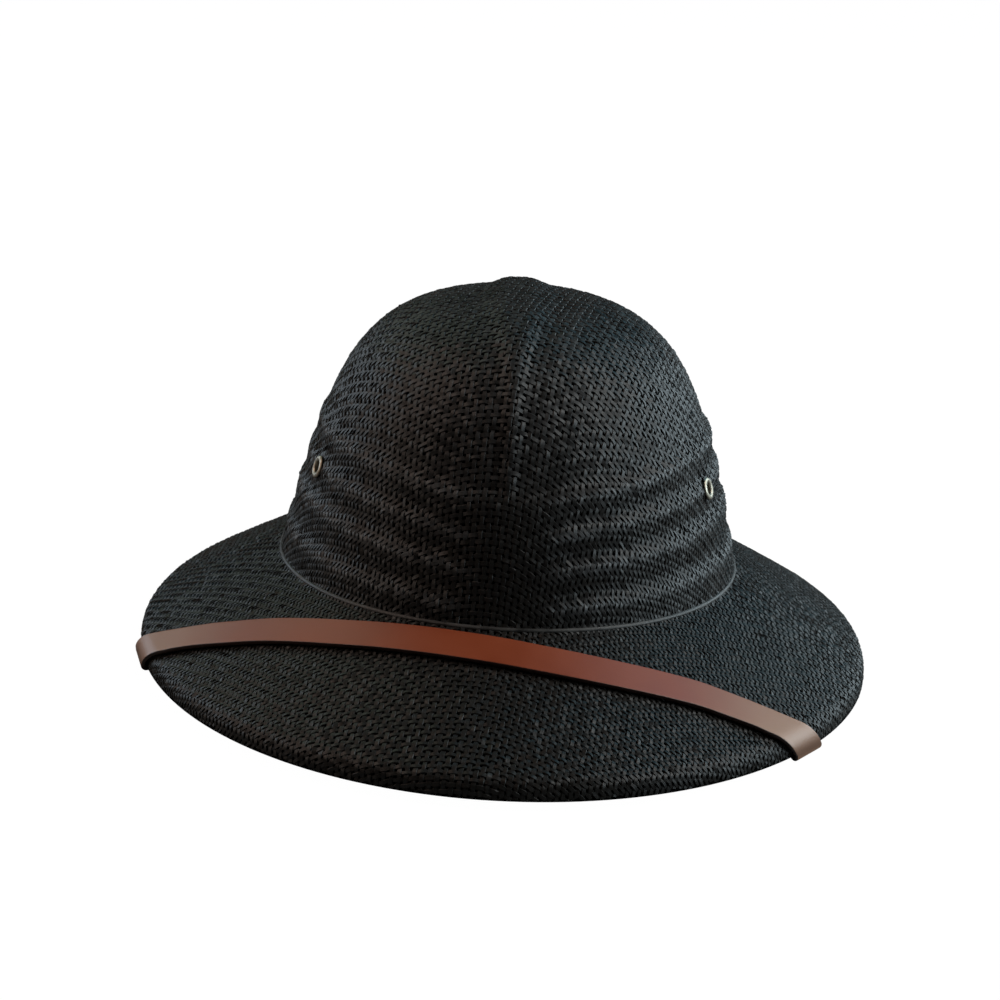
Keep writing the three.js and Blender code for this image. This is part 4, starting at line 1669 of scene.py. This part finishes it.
    def sheet(self, material: bpy.types.Material) -> bpy.types.Object:
        """Makes the dark sheet: a thin plate behind the strands, painted shade in the gaps, thicker at the
        rim's foot.

        Cells inside a vent hole are left out, the corners round them are set on a circle, and a wall
        closes every open edge.

        Args:
            material: material of the sheet.

        Returns:
            The sheet.
        """
        count = len(self.surface.points)
        coarse = np.arange(0, count, self.sheet_row_step)
        rows = np.union1d(coarse, np.arange(count - self.foot_rows_kept, count))
        pick = np.ix_(rows, np.arange(0, self.surface.columns, self.sheet_column_step))
        points, normals, arc = self.surface.points[pick], self.surface.normals[pick], self.surface.arc[pick]
        foot = smooth((self.bead_height - (arc[-1] - arc)) / self.bead_height)[..., None]
        middle = points - normals * lerp(self.sheet_depth, self.bead_depth, foot)
        ring = np.roll(middle, -1, axis=1)
        centres = (middle[:-1] + middle[1:] + ring[:-1] + ring[1:]) / 4
        kept = ~self.near_vent(centres)
        middle = self.round_vents(middle, kept)
        half = lerp(self.sheet_half_thick, self.bead_half_thick, foot)
        faces = self.plate_faces(kept, middle.shape[0], middle.shape[1])
        both = [self.pole_first(middle + normals * half * way) for way in (1.0, -1.0)]
        plate = np.vstack(both)
        plate[:, 2] = np.maximum(plate[:, 2], self.lowest)
        woven = self.pole_first(self.cloth.place(self.surface)[pick])
        # Dark sheet: its outer face is painted shade between the strands.
        made = mesh_piece("straw_shade_sheet", plate, faces, np.vstack([woven, woven]))
        add_values(made, "inner", np.repeat([0.0, 1.0], len(woven)))
        return dress(made, material, Slot.STRAW, self.node)

    def round_vents(self, middle: Array, kept: Array) -> Array:
        """Sets grid points on the edge of a vent hole onto its circle.

        Args:
            middle: grid points along the middle of the sheet.
            kept: which cells are kept.

        Returns:
            The grid with those points moved.
        """
        beside = np.stack([kept, np.roll(kept, 1, axis=1)])
        edge = np.zeros(middle.shape[:-1], dtype=bool)
        corner = np.concatenate([beside[:, :-1], beside[:, 1:]])
        edge[1:-1] = corner.any(axis=0) & ~corner.all(axis=0)
        moved = middle.copy()
        for vent in self.vents:
            offset = middle - vent.centre
            depth = offset @ vent.axis
            aside = offset - depth[..., None] * vent.axis
            far = np.linalg.norm(aside, axis=-1)
            near = edge & (far < 2 * self.vent_radius) & (np.abs(depth) < self.vent_reach)
            pull = aside * (self.vent_radius / np.maximum(far, TINY) - 1.0)[..., None]
            moved = np.where(near[..., None], middle + pull, moved)
        return moved

    @staticmethod
    def pole_first(grid: Array) -> Array:
        """Points of a grid as rows, with its first row, the pole, once."""
        return np.vstack([grid[0, :1], grid[1:].reshape(-1, grid.shape[-1])])

    @staticmethod
    def plate_faces(kept: Array, rows: int, columns: int) -> list[Array]:
        """Faces of a plate over the kept cells of a grid: both faces, and walls along open edges.

        Args:
            kept: which cells are kept.
            rows: rows of points, the first of which is one pole.
            columns: points in a row.

        Returns:
            Triangles round the two poles, and quads.
        """
        index = np.arange(rows * columns).reshape(rows, columns) - (columns - 1)
        index[0] = 0
        under = index.max() + 1
        beside = np.roll(index, -1, axis=1)
        cell = np.stack([index[:-1], index[1:], beside[1:], beside[:-1]], axis=-1)
        pole = cell[0][:, [0, 1, 2]]
        full = cell[1:][kept[1:]]
        outside = np.zeros((1, columns), dtype=bool)
        next_to = {
            (1, 2): np.concatenate([kept[1:], outside]),
            (3, 0): np.concatenate([outside, kept[:-1]]),
            (0, 1): np.roll(kept, 1, axis=1),
            (2, 3): np.roll(kept, -1, axis=1),
        }
        walls = []
        for (start, end), neighbour in next_to.items():
            bare = kept & ~neighbour
            bare[0] = False
            edge = cell[bare][:, [end, start]]
            walls.append(np.hstack([edge, under + edge[:, ::-1]]))
        return [pole, under + pole[:, ::-1], full, under + full[:, ::-1], *walls]

    def crease(self, material: bpy.types.Material) -> bpy.types.Object:
        """Makes the pressed edge along the crease: a flat ellipse carried round it.

        Args:
            material: material of the pressed straw.

        Returns:
            The edge.
        """
        row = self.surface.crease_row
        points, normals = self.surface.points[row], self.surface.normals[row]
        along = unit(np.roll(points, -1, axis=0) - np.roll(points, 1, axis=0))
        side = np.cross(normals, along)
        turn = np.linspace(0.0, 2 * math.pi, self.crease_sides, endpoint=False)[None, :, None]
        rings = (
            (points - normals * self.crease_sunk)[:, None]
            + side[:, None] * np.cos(turn) * self.crease_half_width
            + normals[:, None] * np.sin(turn) * self.crease_half_thick
        )
        faces = grid_faces(len(points), self.crease_sides, close_rows=True)[:, [0, 3, 2, 1]]
        made = mesh_piece("straw_crease_edge", rings.reshape(-1, 3), [faces])
        return dress(made, material, Slot.STRAW, self.node)


@dataclass(frozen=True)
class Softbox:
    """Rectangular area light that faces the helmet.

    Its place is an azimuth from the front and an elevation in degrees, its size and distance are in metres.
    """

    name: str
    azimuth: float
    elevation: float
    width: float
    height: float
    power: float
    tone: Tone
    distance: float = 1.8

    def build(self, target: Array) -> None:
        """Adds the light, turned to the target.

        Args:
            target: point in metres that the light faces.
        """
        azimuth, elevation = math.radians(self.azimuth), math.radians(self.elevation)
        level = np.array([math.sin(azimuth), -math.cos(azimuth), 0.0])
        back = level * math.cos(elevation) + UP * math.sin(elevation)
        lamp = bpy.data.lights.new(self.name, "AREA")
        lamp.shape = "RECTANGLE"
        lamp.size = self.width
        lamp.size_y = self.height
        lamp.energy = self.power
        lamp.color = self.tone
        made = bpy.data.objects.new(self.name, lamp)
        right = unit(np.cross(UP, back))
        made.matrix_world = axes_matrix(right, np.cross(back, right), back, target + back * self.distance)
        made.visible_camera = False
        bpy.context.scene.collection.objects.link(made)


def axes_matrix(right: Array, up: Array, back: Array, place: Array) -> Matrix:
    """Matrix of an object whose own axes and place are given.

    Args:
        right: direction of its x axis.
        up: direction of its y axis.
        back: direction of its z axis.
        place: where its origin is, in metres.

    Returns:
        The matrix.
    """
    turned = np.eye(4)
    turned[:3] = np.stack([right, up, back, place], axis=1)
    return Matrix(turned.tolist())


@dataclass
class Studio:
    """Pale floor, soft side lights and the camera at the photograph's angle."""

    elevation: float = 16.06
    roll: float = 3.22
    distance: float = 1200.0
    focal_pixels: float = 3037.7
    target_height: float = 70.0
    principal: tuple[float, float] = (512.64, 471.32)
    image_side: float = 1000.0
    sensor: float = 36.0
    floor_radius: float = 9.0
    floor_sides: int = 96
    floor_tone: float = 0.2
    floor_glow: float = 1.17
    floor_glow_share: float = 0.85
    ambient: float = 0.01
    lights: tuple[Softbox, ...] = (
        Softbox("side_right", 85.0, 13.0, 1.2, 0.75, 11.3, (0.77, 0.93, 1.0)),
        Softbox("side_left", -85.0, 13.0, 1.2, 0.75, 3.1, (1.0, 0.81, 0.68)),
        Softbox("rear_right_low", 125.0, 13.0, 1.2, 0.75, 10.5, (0.75, 0.92, 1.0)),
        Softbox("rear_left_low", -125.0, 13.0, 1.2, 0.75, 5.6, (0.74, 0.88, 1.0)),
        Softbox("rear_right_high", 140.0, 45.0, 1.0, 1.0, 2.3, (0.12, 0.7, 1.0)),
        Softbox("rear_left_high", -145.0, 40.0, 1.0, 1.0, 2.1, (0.78, 1.0, 0.8)),
        Softbox("high_right", 85.0, 48.0, 1.0, 1.0, 12.9, (0.99, 1.0, 0.98)),
        Softbox("high_left", -85.0, 48.0, 1.0, 1.0, 5.6, (1.0, 0.75, 0.63)),
    )

    def camera(self) -> None:
        """Adds the camera: above the front, rolled, and shifted to the photograph's framing."""
        tilt, roll = math.radians(self.elevation), math.radians(self.roll)
        back = np.array([0.0, -math.cos(tilt), math.sin(tilt)])
        level = np.array([1.0, 0.0, 0.0])
        rise = np.cross(back, level)
        right = math.cos(roll) * level + math.sin(roll) * rise
        up = math.cos(roll) * rise - math.sin(roll) * level
        lens = bpy.data.cameras.new("camera")
        lens.sensor_width = self.sensor
        lens.lens = self.focal_pixels / self.image_side * self.sensor
        lens.shift_x = 0.5 - self.principal[0] / self.image_side
        lens.shift_y = self.principal[1] / self.image_side - 0.5
        made = bpy.data.objects.new("camera", lens)
        target = UP * self.target_height
        made.matrix_world = set_down() @ axes_matrix(right, up, back, (target + back * self.distance) * MM)
        bpy.context.scene.collection.objects.link(made)
        bpy.context.scene.camera = made

    def floor(self) -> None:
        """Adds the floor, a wide flat disc that the camera sees bright, with a faint shadow on it."""
        turn = np.linspace(0.0, 2 * math.pi, self.floor_sides, endpoint=False)
        rim = np.stack([np.cos(turn), np.sin(turn), 0.0 * turn], axis=1) * self.floor_radius / MM
        made = mesh_piece("floor", rim, [np.arange(self.floor_sides)[None, :]])
        material, graph = new_material("pale_floor")
        tone = colour(self.floor_tone, self.floor_tone, self.floor_tone)
        plain = graph.node("ShaderNodeBsdfDiffuse", {"Color": tone})
        glow = graph.node("ShaderNodeEmission", {"Strength": self.floor_glow})
        seen = graph.node("ShaderNodeLightPath").outputs["Is Camera Ray"]
        share = graph.math("MULTIPLY", seen, self.floor_glow_share)
        mixed = graph.node("ShaderNodeMixShader", {0: share, 1: plain.outputs[0], 2: glow.outputs[0]})
        graph.node("ShaderNodeOutputMaterial", {"Surface": mixed.outputs[0]})
        made.data.materials.append(material)
        made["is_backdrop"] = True

    def surroundings(self) -> None:
        """Sets a white background that the camera sees, and a dim even light from all round."""
        world = bpy.data.worlds.new("studio")
        world.use_nodes = True
        graph = Graph(world.node_tree)
        seen = graph.node("ShaderNodeLightPath").outputs["Is Camera Ray"]
        strength = graph.spread(seen, self.ambient, 1.0)
        white = graph.node("ShaderNodeBackground", {"Strength": strength})
        graph.node("ShaderNodeOutputWorld", {"Surface": white.outputs[0]})
        bpy.context.scene.world = world

    def build(self) -> None:
        """Builds the whole studio."""
        bpy.context.scene.view_settings.view_transform = "Standard"
        self.camera()
        self.floor()
        self.surroundings()
        for light in self.lights:
            light.build(UP * self.target_height * MM)


def write_sizes() -> None:
    """Gathers the CAD box and the visual model's box as lists of corners, and writes nothing."""
    boxes = {"cad": CAD_BOX, "visual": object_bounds()}
    sizes = {name: [list(corner) for corner in box] for name, box in boxes.items()}


def main() -> None:
    """Builds the helmet's pieces in order, then the studio."""
    logging.basicConfig(level=logging.INFO, format="%(name)s: %(message)s")
    Studio().build()
    surface = ShellSurface()
    eyelets = [Eyelet(surface.crown, side) for side in Side]
    shell = StrawShell(surface, StrawCloth(), eyelets)
    # Dark sheet behind the strands: painted shade in the gaps.
    shell.sheet(ShadeSheetFinish().material())
    straw = StrawFinish().material()
    for family in Family:
        shell.strands(family, straw)
    # Pressed crease edge, painted pale as a painted highlight.
    shell.crease(PressedHighlightFinish().material())
    course = StrapCourse(surface.brim)
    ChinStrap(course).build(LeatherFinish().material())
    brass = BrassFinish().material()
    for eyelet in eyelets:
        eyelet.build(brass)
    for end in course.ends:
        StrapRivet(course, end).build(brass)
    write_sizes()


if __name__ == "__main__":
    main()
